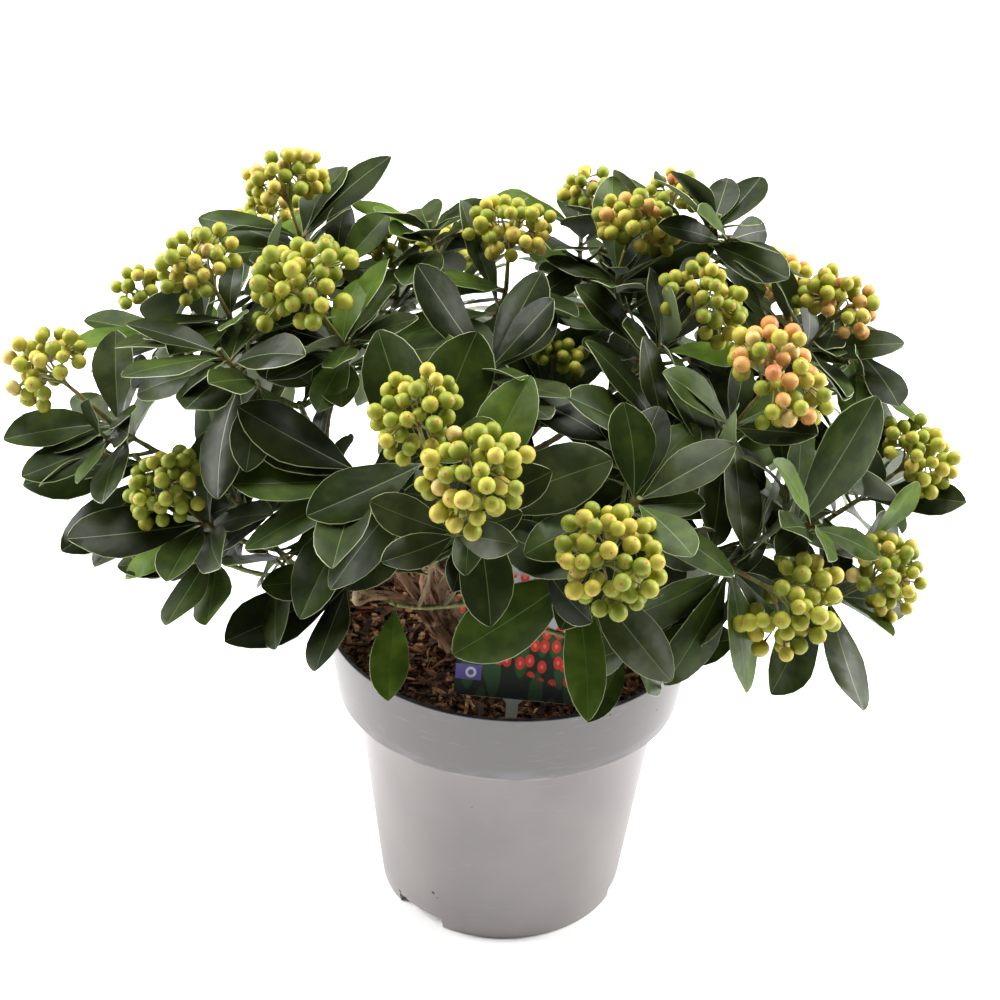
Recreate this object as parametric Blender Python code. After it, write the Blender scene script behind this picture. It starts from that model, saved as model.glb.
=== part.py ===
"""A skimmia in berry, growing in its nursery pot.

A low trunk leaves the bark mulch and splits into six stems. Each stem forks into boughs, and each bough
carries one mass of foliage: twigs with whorls of leathery leaves, most of them under a head of berries.
The pot's axis is Z, its underside is z = 0, and -Y is the side that faces the viewer. Metres throughout.
"""

import math
import random

import bmesh
import bpy
from mathutils import Matrix, Quaternion, Vector
from mathutils.bvhtree import BVHTree

# Pot: a tapered body under a wider collar, with drain notches in its foot
POT_HEIGHT = 0.230
RIM_RADIUS = 0.1335
COLLAR_HEIGHT = 0.173
COLLAR_RADIUS = 0.1258
BODY_TOP_RADIUS = 0.1125
FOOT_RADIUS = 0.0907
WALL = 0.0020
LIP = 0.0034
FLOOR = 0.0025
GUTTER_RADIUS = 0.068
GUTTER_HEIGHT = 0.0118
GUTTER_SLOPE = 0.003
OUTER_EDGE = 0.0015
LIP_EDGE = 0.001
POT_SIDES = 40
NOTCH_COUNT = 3
NOTCH_ANGLE = math.radians(-41.0)
NOTCH_SPAN = math.radians(28.0)
NOTCH_HEIGHT = 0.009
NOTCH_DEPTH = 0.016
NOTCH_STEPS = 4
DRAIN_RADIUS = 0.005
DRAIN_LENGTH = 0.010
DRAIN_INSET = 0.001
DRAIN_SIDES = 8
# How far a cutter runs past the face that it enters by
OVERCUT = 0.002

# Mulch that fills the pot
MULCH_TOP = 0.210
GAP = 0.0003

# Plastic label on a spike, pushed into the mulch and leaning back
LABEL_WIDTH = 0.082
LABEL_HEIGHT = 0.118
LABEL_THICKNESS = 0.0009
LABEL_CORNER = 0.005
SPIKE_WIDTH = 0.0085
SPIKE_BELOW_PLATE = 0.034
SPIKE_POINT = 0.010
SPIKE_IN_PLATE = 0.004
CORNER_STEPS = 3
LABEL_FOOT = Vector((0.003, -0.1045, 0.2275))
LABEL_LEAN = math.radians(22.0)
LABEL_ROLL = math.radians(3.0)

# Trunk and stems
TRUNK_FOOT = Vector((-0.034, -0.015, MULCH_TOP + GAP))
TRUNK_TOP = Vector((-0.052, -0.020, 0.243))
TRUNK_FLARE = 0.021
TRUNK_RADIUS = 0.0150
TRUNK_RISE = 0.012
TRUNK_SWELLS = (1.14, 1.02)
TRUNK_SIDES = 12
STEM_RADIUS = 0.0046
STEM_WAIST = 0.0037
STEM_KNUCKLE = 0.0062
STEM_SEAT = 0.0098
STEM_SIDES = 7
BOUGH_RADIUS = 0.0024
BOUGH_TIP_RADIUS = 0.0020
BOUGH_SPREAD = 0.5
BOUGH_SAG = 0.006
BOUGH_SIDES = 5
# How far along its reach the control point of a limb's curve lies
LIMB_CURVE = 0.45

# Where each stem forks
STEM_FORKS = {
    "left": Vector((-0.130, 0.005, 0.325)),
    "low_left": Vector((-0.105, -0.055, 0.275)),
    "front": Vector((-0.050, -0.085, 0.325)),
    "centre": Vector((-0.005, 0.020, 0.350)),
    "right": Vector((0.080, -0.015, 0.310)),
    "back": Vector((-0.010, 0.085, 0.305)),
}

# Masses of foliage: the stem that carries each, then its shoots. A shoot is what it bears, its place (the
# middle of a berry head, or the top of a whorl of leaves) and, where its lean shows, the place of its whorl.
MASSES = {
    "far_left": ("left", [("head", (-0.314, -0.040, 0.434), (-0.278, -0.035, 0.395)),
                          ("whorl", (-0.260, -0.040, 0.370))]),
    "left_high": ("left", [("head", (-0.211, -0.020, 0.501)), ("small_head", (-0.266, 0.040, 0.458))]),
    "upper_left": ("left", [("wide_head", (-0.143, -0.060, 0.510), (-0.118, -0.055, 0.470)),
                            ("whorl", (-0.195, -0.075, 0.470))]),
    "top_left": ("left", [("head", (-0.166, 0.045, 0.538)), ("small_head", (-0.095, 0.065, 0.488))]),
    "left_low": ("low_left", [("head", (-0.230, -0.100, 0.380)), ("whorl", (-0.190, -0.085, 0.368))]),
    "left_hem": ("low_left", [("whorl", (-0.205, -0.105, 0.336)), ("whorl", (-0.158, -0.110, 0.345))]),
    "front_left": ("low_left", [("whorl", (-0.100, -0.120, 0.412)), ("whorl", (-0.110, -0.125, 0.330))]),
    "front_hem": ("front", [("whorl", (-0.082, -0.100, 0.300)), ("whorl", (0.084, -0.125, 0.290))]),
    "front_centre": ("front", [("head", (-0.065, -0.150, 0.469), (-0.058, -0.128, 0.428)),
                               ("wide_head", (-0.027, -0.190, 0.448), (-0.026, -0.158, 0.412))]),
    "front_right": ("front", [("wide_head", (0.058, -0.190, 0.395), (0.045, -0.155, 0.366)),
                              ("whorl", (0.076, -0.140, 0.410))]),
    "heart": ("front", [("small_head", (0.022, -0.030, 0.452)), ("whorl", (-0.022, -0.060, 0.462))]),
    "top_centre": ("centre", [("head", (-0.012, 0.020, 0.519)), ("whorl", (-0.067, 0.065, 0.505))]),
    "top_back": ("centre", [("small_head", (0.044, 0.120, 0.512)), ("small_head", (0.106, 0.135, 0.506))]),
    "top_right": ("centre", [("head", (0.071, 0.040, 0.521)), ("whorl", (0.130, 0.052, 0.524))]),
    "upper_right": ("centre", [("head", (0.119, -0.020, 0.495), (0.095, -0.018, 0.460))]),
    "right_high": ("right", [("head", (0.218, 0.040, 0.468)), ("whorl", (0.241, 0.050, 0.436))]),
    "right_front": ("right", [("wide_head", (0.162, -0.080, 0.470), (0.141, -0.070, 0.430)),
                              ("whorl", (0.095, -0.085, 0.432))]),
    "far_right": ("right", [("head", (0.272, -0.020, 0.383)), ("head", (0.250, -0.080, 0.325))]),
    "right_low": ("right", [("wide_head", (0.179, -0.140, 0.340), (0.143, -0.122, 0.350)),
                            ("whorl", (0.198, -0.100, 0.375))]),
    "back_left": ("back", [("head", (-0.190, 0.150, 0.460)), ("whorl", (-0.230, 0.110, 0.390))]),
    "back_centre": ("back", [("head", (-0.060, 0.215, 0.420)), ("whorl", (-0.115, 0.200, 0.375))]),
    "back_right": ("back", [("head", (0.090, 0.225, 0.430)), ("whorl", (0.020, 0.235, 0.370))]),
    "right_back": ("back", [("head", (0.190, 0.150, 0.430)), ("whorl", (0.235, 0.120, 0.370))]),
}

# Leaves that show from the front: for each mass, the shoot that bears the leaf and the place of the leaf's tip
FRONT_LEAVES = {
    "far_left": [(0, -0.345, -0.055, 0.386), (0, -0.275, 0.005, 0.443), (0, -0.327, -0.080, 0.373),
                 (1, -0.332, -0.060, 0.352), (1, -0.305, -0.080, 0.316), (1, -0.282, -0.085, 0.308)],
    "left_high": [(0, -0.235, 0.010, 0.522), (0, -0.225, -0.075, 0.466), (1, -0.310, 0.060, 0.424)],
    "upper_left": [(0, -0.178, -0.030, 0.528), (0, -0.092, 0.008, 0.502), (0, -0.112, -0.115, 0.455),
                   (1, -0.205, -0.140, 0.462)],
    "top_left": [(0, -0.094, 0.083, 0.545), (0, -0.128, 0.096, 0.532), (0, -0.228, 0.062, 0.501),
                 (1, -0.070, 0.010, 0.482)],
    "left_low": [(0, -0.220, -0.155, 0.345), (0, -0.290, -0.125, 0.360), (1, -0.210, -0.045, 0.430),
                 (1, -0.175, -0.020, 0.385)],
    "left_hem": [(0, -0.218, -0.170, 0.322), (0, -0.195, -0.165, 0.320), (1, -0.180, -0.158, 0.360)],
    "front_left": [(0, -0.180, -0.105, 0.446), (0, -0.182, -0.128, 0.403), (0, -0.172, -0.150, 0.368),
                   (1, -0.186, -0.155, 0.300), (1, -0.178, -0.095, 0.336), (1, -0.125, -0.185, 0.300)],
    "front_hem": [(0, -0.079, -0.168, 0.268), (1, 0.052, -0.175, 0.262)],
    "front_centre": [(0, -0.131, -0.157, 0.399), (0, -0.116, -0.172, 0.354), (0, -0.092, -0.090, 0.496),
                     (0, -0.030, -0.085, 0.496), (1, 0.057, -0.138, 0.436), (1, 0.045, -0.172, 0.376),
                     (1, -0.014, -0.203, 0.352), (1, 0.005, -0.112, 0.479)],
    "front_right": [(0, -0.036, -0.182, 0.316), (0, 0.050, -0.203, 0.284), (0, 0.102, -0.192, 0.308),
                    (1, 0.115, -0.081, 0.434), (1, 0.136, -0.120, 0.441)],
    "heart": [(1, -0.070, -0.050, 0.525), (1, 0.010, -0.020, 0.510)],
    "top_centre": [(0, -0.057, -0.020, 0.500), (0, -0.046, 0.042, 0.533), (1, -0.090, 0.010, 0.520)],
    "top_right": [(0, 0.058, 0.090, 0.535), (0, 0.130, 0.045, 0.515), (1, 0.162, 0.106, 0.533),
                  (1, 0.170, -0.005, 0.505)],
    "right_high": [(0, 0.262, 0.022, 0.448), (1, 0.255, -0.015, 0.420), (1, 0.225, -0.018, 0.408)],
    "right_front": [(0, 0.147, -0.134, 0.373), (0, 0.185, -0.120, 0.450), (1, 0.098, -0.017, 0.441)],
    "far_right": [(0, 0.305, -0.045, 0.370), (1, 0.232, -0.145, 0.260), (1, 0.175, -0.135, 0.262)],
    "right_low": [(0, 0.069, -0.158, 0.334), (0, 0.099, -0.162, 0.286), (0, 0.151, -0.168, 0.285),
                  (0, 0.205, -0.172, 0.300), (1, 0.232, -0.062, 0.450), (1, 0.184, -0.060, 0.435)],
}

# Twigs inside a mass
HEART = Vector((-0.020, 0.0, 0.260))
RISE = 0.60
TWIG_RADIUS = 0.0020
TWIG_TIP_RADIUS = 0.0016
TWIG_SIDES = 3
TWIG_OVERRUN = 0.002
MASS_STEM = 0.070
MASS_STEM_SHARE = 0.6
FORK_SHARE = 0.28
FORK_TURN = 0.4
FORK_DEPTH = 0.003
FORK_SPACING = 0.0016
FORK_STAGGER = 0.0002
WHORL_LENGTH = 0.028

# No leaf reaches below this, save those that are set by hand
HEM = 0.268

# The opening at the front of the crown, through which the label and the trunk show. It runs from the mulch
# towards the viewer. Only leaves that are set by hand may cross it. Each is x from, x to, y from, y to.
WINDOWS = [(-0.085, -0.030, -0.125, 0.060), (-0.030, 0.048, -0.125, -0.030)]
WINDOW_REACH = Vector((0, -0.26, 0.15))

# Berry heads: outer radius, and how far the head's middle stands above its whorl
HEADS = {"wide_head": (0.036, 0.040), "head": (0.030, 0.036), "small_head": (0.021, 0.030)}
HEAD_FLATNESS = 0.88
HOLLOW_SHARE = 0.80
HEAD_STALK_SINK = 0.004

# Leaves
LEAVES = {"wide_head": 7, "head": 6, "small_head": 5, "whorl": 8}
OLD_LEAVES = 2
OLD_LEAF_SPACING = 0.003
OLD_LEAF_TILT = (75, 105)
BARE_TIP = 0.004
TOP_LEAF_LOSS = 0.22
GOLDEN_ANGLE = math.radians(137.5)
LEAF_LENGTH = (0.076, 0.100)
LEAF_SLENDERNESS = (0.39, 0.46)
LEAF_THICKNESS = 0.0016
LEAF_STATIONS = ((0.36, 0.92), (0.74, 0.86))
LEAF_MIDDLE = 0.48
LOWEST_TILT = math.radians(112.0)
HIGHEST_TILT = math.radians(40.0)
TILT_SPREAD = math.radians(8.0)
DROOP = (0.10, 0.28)
# Leaves that are set by hand droop this share of it, and their roots may stand in so many places on the twig
FRONT_DROOP = 0.5
FRONT_ROOTS = 5
FRONT_ROOT = 0.006
FRONT_ROOT_SPACING = 0.005
# The turn and the rise, in degrees, of each version in which a leaf of the rule may stand
LEAF_TRIES = (
    (0, 0), (24, 0), (-24, 0), (0, -16), (0, 16), (48, -8), (-48, -8), (24, 20), (-24, 20), (72, 0), (-72, 0)
)
CLEARANCE = 0.0009
SEED = 20

# Joining
FUSE_ATTEMPTS = 4
HAIR = 0.00004
SAME_PLACE = 0.0000005


def material(name, colour, roughness):
    made = bpy.data.materials.new(name)
    made.use_nodes = True
    shader = made.node_tree.nodes["Principled BSDF"]
    shader.inputs["Base Color"].default_value = (*colour, 1.0)
    shader.inputs["Roughness"].default_value = roughness
    made.diffuse_color = (*colour, 1.0)
    return made


def add_object(name, mesh, finish=None):
    made = bpy.data.objects.new(name, mesh)
    bpy.context.scene.collection.objects.link(made)
    if finish:
        made.data.materials.append(finish)
    return made


def mesh_of(name, points, faces):
    mesh = bpy.data.meshes.new(name)
    mesh.from_pydata([tuple(p) for p in points], [], faces)
    mesh.update()
    return mesh


def bezier(start, control, end, count):
    """Points of a quadratic curve, ends included."""
    shares = [i / (count - 1) for i in range(count)]
    return [start * (1 - t) ** 2 + control * (2 * t * (1 - t)) + end * t ** 2 for t in shares]


def across(direction):
    """A unit vector at right angles to direction, level where it can be."""
    level = Vector((0, 0, 1)).cross(direction)
    if level.length < 1e-4:
        level = Vector((1, 0, 0))
    return level.normalized()


def tube(path, radii, sides, start_along=None):
    """Points and faces of a closed limb along path. Its ends are flat cuts square to the path."""
    points, faces = [], []
    tangents = [(path[min(i + 1, len(path) - 1)] - path[max(i - 1, 0)]).normalized() for i in range(len(path))]
    tangents[0] = (start_along or path[1] - path[0]).normalized()
    tangents[-1] = (path[-1] - path[-2]).normalized()
    side = across(tangents[0])
    for centre, tangent, radius in zip(path, tangents, radii):
        side = (side - tangent * side.dot(tangent)).normalized()
        up = tangent.cross(side)
        for k in range(sides):
            angle = math.tau * k / sides
            points.append(centre + (side * math.cos(angle) + up * math.sin(angle)) * radius)
    for i in range(len(path) - 1):
        for k in range(sides):
            a, b = i * sides + k, i * sides + (k + 1) % sides
            faces.append((a, b, b + sides, a + sides))
    faces.append(tuple(reversed(range(sides))))
    faces.append(tuple(range((len(path) - 1) * sides, len(path) * sides)))
    return points, faces


def tapered(first, last, count):
    return [first + (last - first) * i / (count - 1) for i in range(count)]


class Limb:
    """A stem, bough or twig: the curve it follows, its radius along it, and the way its first cut faces."""

    def __init__(self, start, along, end, radii, sides, end_along=None, count=6, cut=None):
        reach = (end - start).length
        if end_along is None:
            control = start + along * reach * LIMB_CURVE
        else:
            control = end - end_along * reach * LIMB_CURVE
        self.path = bezier(start, control, end, count)
        self.radii = radii if len(radii) == count else tapered(radii[0], radii[1], count)
        self.sides = sides
        self.cut = cut or along

    def end_direction(self):
        return (self.path[-1] - self.path[-2]).normalized()

    def solid(self):
        return tube(self.path, self.radii, self.sides, self.cut)


def seats_round(centre, axis, count, radius, targets):
    """Places round a flat cut, one for each target, taken in the order in which the targets stand round it."""
    side = across(axis)
    up = axis.cross(side)
    bearing = [math.atan2((t - centre).dot(up), (t - centre).dot(side)) for t in targets]
    order = sorted(range(count), key=lambda i: bearing[i])
    turn = math.atan2(
        sum(math.sin(bearing[i] - math.tau * n / count) for n, i in enumerate(order)),
        sum(math.cos(bearing[i] - math.tau * n / count) for n, i in enumerate(order)),
    )
    places = [None] * count
    for n, i in enumerate(order):
        angle = math.tau * n / count + turn
        places[i] = centre + (side * math.cos(angle) + up * math.sin(angle)) * radius
    return places


class Shoot:
    """One growing tip: its axis, the top of its whorl and what it bears."""

    def __init__(self, kind, place, node=None):
        place = Vector(place)
        self.kind = kind
        self.head_centre = place
        if node:
            self.node = Vector(node)
            self.axis = (place - self.node).normalized()
        else:
            outward = (place - HEART).normalized()
            self.axis = (outward + Vector((0, 0, RISE))).normalized()
            self.node = place - self.axis * (HEADS[kind][1] if kind in HEADS else 0.0)


def shoots_of(mass):
    return [Shoot(*shoot) for shoot in MASSES[mass][1]]


def grow_stems():
    """The six stems, seated round the trunk's flat top."""
    axis = (TRUNK_TOP - TRUNK_FOOT).normalized()
    names = list(STEM_FORKS)
    seats = seats_round(TRUNK_TOP + axis * GAP, axis, len(names), STEM_SEAT, [STEM_FORKS[n] for n in names])
    radii = [STEM_RADIUS, STEM_WAIST, STEM_WAIST, STEM_WAIST, STEM_WAIST, STEM_WAIST, STEM_KNUCKLE]
    return {n: Limb(seat, axis, STEM_FORKS[n], radii, STEM_SIDES, count=7) for n, seat in zip(names, seats)}


def grow_boughs(stems):
    """One bough for each mass, seated round its stem's flat tip. It ends where the foliage begins."""
    boughs = {}
    for stem_name, stem in stems.items():
        masses = [m for m in MASSES if MASSES[m][0] == stem_name]
        middles = [sum((s.node for s in shoots_of(m)), Vector()) / len(MASSES[m][1]) for m in masses]
        tip, axis = stem.path[-1], stem.end_direction()
        seats = seats_round(tip + axis * GAP, axis, len(masses), STEM_KNUCKLE - BOUGH_RADIUS, middles)
        for mass, middle, seat in zip(masses, middles, seats):
            span = (seat - middle).length
            inside = min(MASS_STEM, span * MASS_STEM_SHARE)
            end = middle + (seat - middle).normalized() * inside - Vector((0, 0, BOUGH_SAG))
            along = (axis + (seat - tip).normalized() * BOUGH_SPREAD).normalized()
            radii = (BOUGH_RADIUS, BOUGH_TIP_RADIUS)
            boughs[mass] = Limb(seat, along, end, radii, BOUGH_SIDES, count=5, cut=axis)
    return boughs


def grow_twigs(mass, bough):
    """The mass's own stem and the twig to each shoot. The stem starts just clear of the bough."""
    shoots = shoots_of(mass)
    along = bough.end_direction()
    start = bough.path[-1] + along * GAP
    middle = sum((s.node for s in shoots), Vector()) / len(shoots)
    heading = along * (1 - FORK_TURN) + (middle - start).normalized() * FORK_TURN
    fork = start + heading * (middle - start).length * FORK_SHARE
    stem = Limb(start, along, fork + along * TWIG_OVERRUN, (TWIG_RADIUS, TWIG_RADIUS), TWIG_SIDES, count=3)
    twigs = []
    for n, shoot in enumerate(shoots):
        root = fork - along * (FORK_DEPTH + FORK_SPACING * n) + across(along) * FORK_STAGGER * n
        tip = shoot.node + shoot.axis * TWIG_OVERRUN
        twigs.append(Limb(root, along, tip, (TWIG_RADIUS, TWIG_TIP_RADIUS), TWIG_SIDES, shoot.axis, count=4))
    return stem, shoots, twigs


def point_back_from_tip(path, distance):
    """The point of path that lies this far before its end."""
    for a, b in zip(reversed(path[:-1]), reversed(path[1:])):
        step = (b - a).length
        if distance <= step:
            return b + (a - b) * (distance / step)
        distance -= step
    return path[0].copy()


class Leaf:
    """One leathery leaf: its root, its frame, its size and how far its tip bends back."""

    def __init__(self, root, axis, bearing, tilt, length, slenderness, droop):
        side = across(axis)
        radial = side * math.cos(bearing) + axis.cross(side) * math.sin(bearing)
        self.root = root
        self.along = (axis * math.cos(tilt) + radial * math.sin(tilt)).normalized()
        self.face = (axis - self.along * axis.dot(self.along)).normalized()
        self.side = self.along.cross(self.face)
        self.length = length
        self.half_width = length * slenderness / 2
        self.droop = droop

    @classmethod
    def towards(cls, root, axis, tip, slenderness, droop):
        """The leaf that springs from root and ends at tip."""
        reach = tip - root
        level = (axis - reach.normalized() * axis.dot(reach.normalized())).normalized()
        aim = reach + level * droop * reach.length
        side = across(axis)
        bearing = math.atan2(aim.dot(axis.cross(side)), aim.dot(side))
        return cls(root, axis, bearing, axis.angle(aim), aim.length, slenderness, droop)

    def at(self, share, aside=0.0, lift=0.0):
        """A point of the blade: share of its length, and metres to the side and off its face."""
        down = self.face * (-self.droop * self.length * share * share)
        return self.root + self.along * (self.length * share) + down + self.side * aside + self.face * lift

    def solid(self, grown=0.0):
        """A closed blade of twelve faces, pointed at root and tip and thickest near the middle."""
        left = [self.at(s, -self.half_width * w - grown) for s, w in LEAF_STATIONS]
        right = [self.at(s, self.half_width * w + grown) for s, w in LEAF_STATIONS]
        thick = LEAF_THICKNESS / 2 + grown
        points = [self.at(0.0), *right, self.at(1.0 + grown / self.length), *reversed(left)]
        points += [self.at(LEAF_MIDDLE, 0.0, thick), self.at(LEAF_MIDDLE, 0.0, -thick)]
        faces = []
        for k in range(6):
            faces.append((k, (k + 1) % 6, 6))
            faces.append(((k + 1) % 6, k, 7))
        return points, faces


def berry_ball(centre, axis, radius):
    """Points and faces of a closed lumpy ball: twelve berries stand out of it, with hollows between them."""
    shape = bmesh.new()
    bmesh.ops.create_icosphere(shape, subdivisions=2, radius=radius)
    turn = axis.to_track_quat("Z", "Y")
    points = []
    for vert in shape.verts:
        is_berry = len(vert.link_edges) == 5
        place = vert.co * (1.0 if is_berry else HOLLOW_SHARE)
        place.z *= HEAD_FLATNESS
        points.append(centre + turn @ place)
    faces = [tuple(v.index for v in f.verts) for f in shape.faces]
    shape.free()
    return points, faces


def head_solids(shoot):
    """The berry head and its stalk."""
    stalk = [shoot.node - shoot.axis * HEAD_STALK_SINK, shoot.head_centre]
    ball = berry_ball(shoot.head_centre, shoot.axis, HEADS[shoot.kind][0])
    return [tube(stalk, (TWIG_TIP_RADIUS, TWIG_TIP_RADIUS), TWIG_SIDES), ball]


def hides_window(points):
    """Whether any of the points stands in front of a window."""
    for x_from, x_to, y_from, y_to in WINDOWS:
        for p in points:
            share = (p.z - MULCH_TOP) / WINDOW_REACH.z
            y = p.y - WINDOW_REACH.y * share
            if 0 < share < 1 and x_from < p.x < x_to and y_from < y < y_to:
                return True
    return False


def front_leaf_slots(mass, shoots, twigs):
    """Each leaf that is set by hand, as its versions: its root may move along its twig."""
    chance = random.Random(f"{SEED} front {mass}")
    slots = []
    for n, (index, *tip) in enumerate(FRONT_LEAVES.get(mass, [])):
        backs = [FRONT_ROOT + FRONT_ROOT_SPACING * ((n + k) % FRONT_ROOTS) for k in range(FRONT_ROOTS)]
        roots = [point_back_from_tip(twigs[index].path, back) for back in backs]
        shape = (chance.uniform(*LEAF_SLENDERNESS), FRONT_DROOP * chance.uniform(*DROOP))
        slots.append([Leaf.towards(root, shoots[index].axis, Vector(tip), *shape) for root in roots])
    return slots


def turned_leaves(root, axis, bearing, tilt, shape):
    """The versions in which a leaf of the rule may stand: turned round its twig, and raised or lowered."""
    return [
        Leaf(root, axis, bearing + math.radians(turn), tilt + math.radians(rise), *shape)
        for turn, rise in LEAF_TRIES
    ]


def leaf_slots(mass, shoots, twigs, stem):
    """Each leaf of the whorls, lowest first, then the old leaves of the mass's own stem, as their versions."""
    chance = random.Random(f"{SEED} {mass}")
    slots = []
    for index, (shoot, twig) in enumerate(zip(shoots, twigs)):
        count = LEAVES[shoot.kind]
        phase = chance.uniform(0, math.tau)
        for j in range(count - sum(1 for leaf in FRONT_LEAVES.get(mass, []) if leaf[0] == index)):
            share = j / (count - 1)
            root = point_back_from_tip(twig.path, WHORL_LENGTH * (1 - share) + BARE_TIP)
            tilt = LOWEST_TILT + (HIGHEST_TILT - LOWEST_TILT) * share
            tilt += chance.uniform(-1, 1) * TILT_SPREAD
            length = chance.uniform(*LEAF_LENGTH) * (1.0 - TOP_LEAF_LOSS * share)
            shape = (length, chance.uniform(*LEAF_SLENDERNESS), chance.uniform(*DROOP))
            slots.append(turned_leaves(root, shoot.axis, phase + j * GOLDEN_ANGLE, tilt, shape))
    phase = chance.uniform(0, math.tau)
    for j in range(OLD_LEAVES):
        root = point_back_from_tip(stem.path, OLD_LEAF_SPACING * (j + 1))
        tilt = math.radians(chance.uniform(*OLD_LEAF_TILT))
        shape = (chance.uniform(*LEAF_LENGTH), chance.uniform(*LEAF_SLENDERNESS), chance.uniform(*DROOP))
        slots.append(turned_leaves(root, stem.end_direction(), phase + j * GOLDEN_ANGLE, tilt, shape))
    return slots


class Space:
    """Everything that a leaf must stay clear of, with the mass that each piece belongs to."""

    def __init__(self):
        self.pieces = []

    def add(self, solid, owner):
        points, faces = solid
        centre = sum(points, Vector()) / len(points)
        reach = max((p - centre).length for p in points)
        self.pieces.append((centre, reach, BVHTree.FromPolygons(points, faces), owner))

    def is_free(self, solid, own_twigs):
        points, faces = solid
        centre = sum(points, Vector()) / len(points)
        reach = max((p - centre).length for p in points)
        tree = BVHTree.FromPolygons(points, faces)
        for other_centre, other_reach, other, whose in self.pieces:
            if whose == own_twigs:
                continue
            if (centre - other_centre).length < reach + other_reach and tree.overlap(other):
                return False
        return True


def place_leaves(space, plans):
    """Gives each mass its leaves in turn, those set by hand first. A leaf stands in the first of its versions
    that touches nothing, or is left out."""
    leaves = {mass: [] for mass in plans}
    by_hand = {mass: front_leaf_slots(mass, shoots, twigs) for mass, (stem, shoots, twigs) in plans.items()}
    by_rule = {mass: leaf_slots(mass, shoots, twigs, stem) for mass, (stem, shoots, twigs) in plans.items()}
    for slots in (by_hand, by_rule):
        for turn in range(max(len(found) for found in slots.values())):
            for mass, found in slots.items():
                for leaf in found[turn] if turn < len(found) else []:
                    blade = leaf.solid(grown=CLEARANCE)
                    low = any(p.z < HEM for p in blade[0]) or hides_window(blade[0])
                    if space.is_free(blade, mass + " twigs") and (slots is by_hand or not low):
                        space.add(leaf.solid(), mass + " leaves")
                        leaves[mass].append(leaf)
                        break
    return leaves


def drop_fins(shape):
    """Removes each pair of triangles that lie back to back on the same three corners."""
    seen, fins = {}, []
    for face in shape.faces:
        corners = frozenset(vert.index for vert in face.verts)
        if corners in seen:
            fins += [face, seen[corners]]
        seen[corners] = face
    bmesh.ops.delete(shape, geom=fins, context="FACES")


def drop_loose(mesh):
    """Keeps the mesh's largest connected body, and drops fins, scraps and sealed hollows."""
    shape = bmesh.new()
    shape.from_mesh(mesh)
    bmesh.ops.triangulate(shape, faces=shape.faces)
    drop_fins(shape)
    unseen, bodies = set(shape.verts), []
    while unseen:
        body, to_visit = set(), [unseen.pop()]
        while to_visit:
            vert = to_visit.pop()
            body.add(vert)
            for edge in vert.link_edges:
                other = edge.other_vert(vert)
                if other in unseen:
                    unseen.discard(other)
                    to_visit.append(other)
        bodies.append(body)
    keep = max(bodies, key=len)
    bmesh.ops.delete(shape, geom=[v for v in shape.verts if v not in keep], context="VERTS")
    shape.to_mesh(mesh)
    shape.free()


def is_closed(mesh):
    """Whether each edge has two faces, also once corners that all but meet are one."""
    shape = bmesh.new()
    shape.from_mesh(mesh)
    bmesh.ops.remove_doubles(shape, verts=shape.verts, dist=SAME_PLACE)
    closed = all(len(edge.link_faces) == 2 for edge in shape.edges)
    shape.free()
    return closed


def joined(body, helpers, solver):
    """The union of body and the helpers as one mesh."""
    union = body.modifiers.new("Union", "BOOLEAN")
    union.operation = "UNION"
    union.operand_type = "COLLECTION"
    union.collection = helpers
    union.solver = solver
    made = bpy.data.meshes.new_from_object(body.evaluated_get(bpy.context.evaluated_depsgraph_get()))
    body.modifiers.clear()
    drop_loose(made)
    return made


def fuse(name, solids, finish):
    """One closed body from overlapping solids. Pieces that meet edge on edge are moved apart by a hair."""
    body = add_object(name, mesh_of(name, *solids[0]), finish)
    helpers = bpy.data.collections.new(name + " pieces")
    bpy.context.scene.collection.children.link(helpers)
    for n, solid in enumerate(solids[1:]):
        helpers.objects.link(bpy.data.objects.new(f"{name} piece {n}", mesh_of(name, *solid)))
    for attempt in range(FUSE_ATTEMPTS):
        whole = joined(body, helpers, "EXACT")
        if not is_closed(whole):
            whole = joined(body, helpers, "MANIFOLD")
        if is_closed(whole):
            break
        for n, piece in enumerate(helpers.objects):
            piece.location.z += HAIR * (n % 3 - 1)
    body.data = whole
    for piece in list(helpers.objects):
        bpy.data.objects.remove(piece)
    bpy.data.collections.remove(helpers)
    return body


def turned(name, profile, finish):
    """A closed solid turned about Z from its (radius, height) outline. Ends on the axis are closed by a fan."""
    points, rings = [], []
    for radius, height in profile:
        if radius == 0:
            rings.append([len(points)])
            points.append(Vector((0, 0, height)))
            continue
        rings.append([len(points) + k for k in range(POT_SIDES)])
        for k in range(POT_SIDES):
            angle = math.tau * k / POT_SIDES
            points.append(Vector((radius * math.cos(angle), radius * math.sin(angle), height)))
    faces = []
    for low, high in zip(rings, rings[1:]):
        for k in range(POT_SIDES):
            n = (k + 1) % POT_SIDES
            if len(low) == 1:
                faces.append((low[0], high[n], high[k]))
            elif len(high) == 1:
                faces.append((low[k], low[n], high[0]))
            else:
                faces.append((low[k], low[n], high[n], high[k]))
    return add_object(name, mesh_of(name, points, faces), finish)


def cut(body, cutters):
    """Takes the cutters out of body, and removes them."""
    for cutter in cutters:
        difference = body.modifiers.new("Cut", "BOOLEAN")
        difference.operation = "DIFFERENCE"
        difference.object = cutter
    made = bpy.data.meshes.new_from_object(body.evaluated_get(bpy.context.evaluated_depsgraph_get()))
    body.modifiers.clear()
    body.data = made
    for cutter in cutters:
        bpy.data.objects.remove(cutter)


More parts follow.
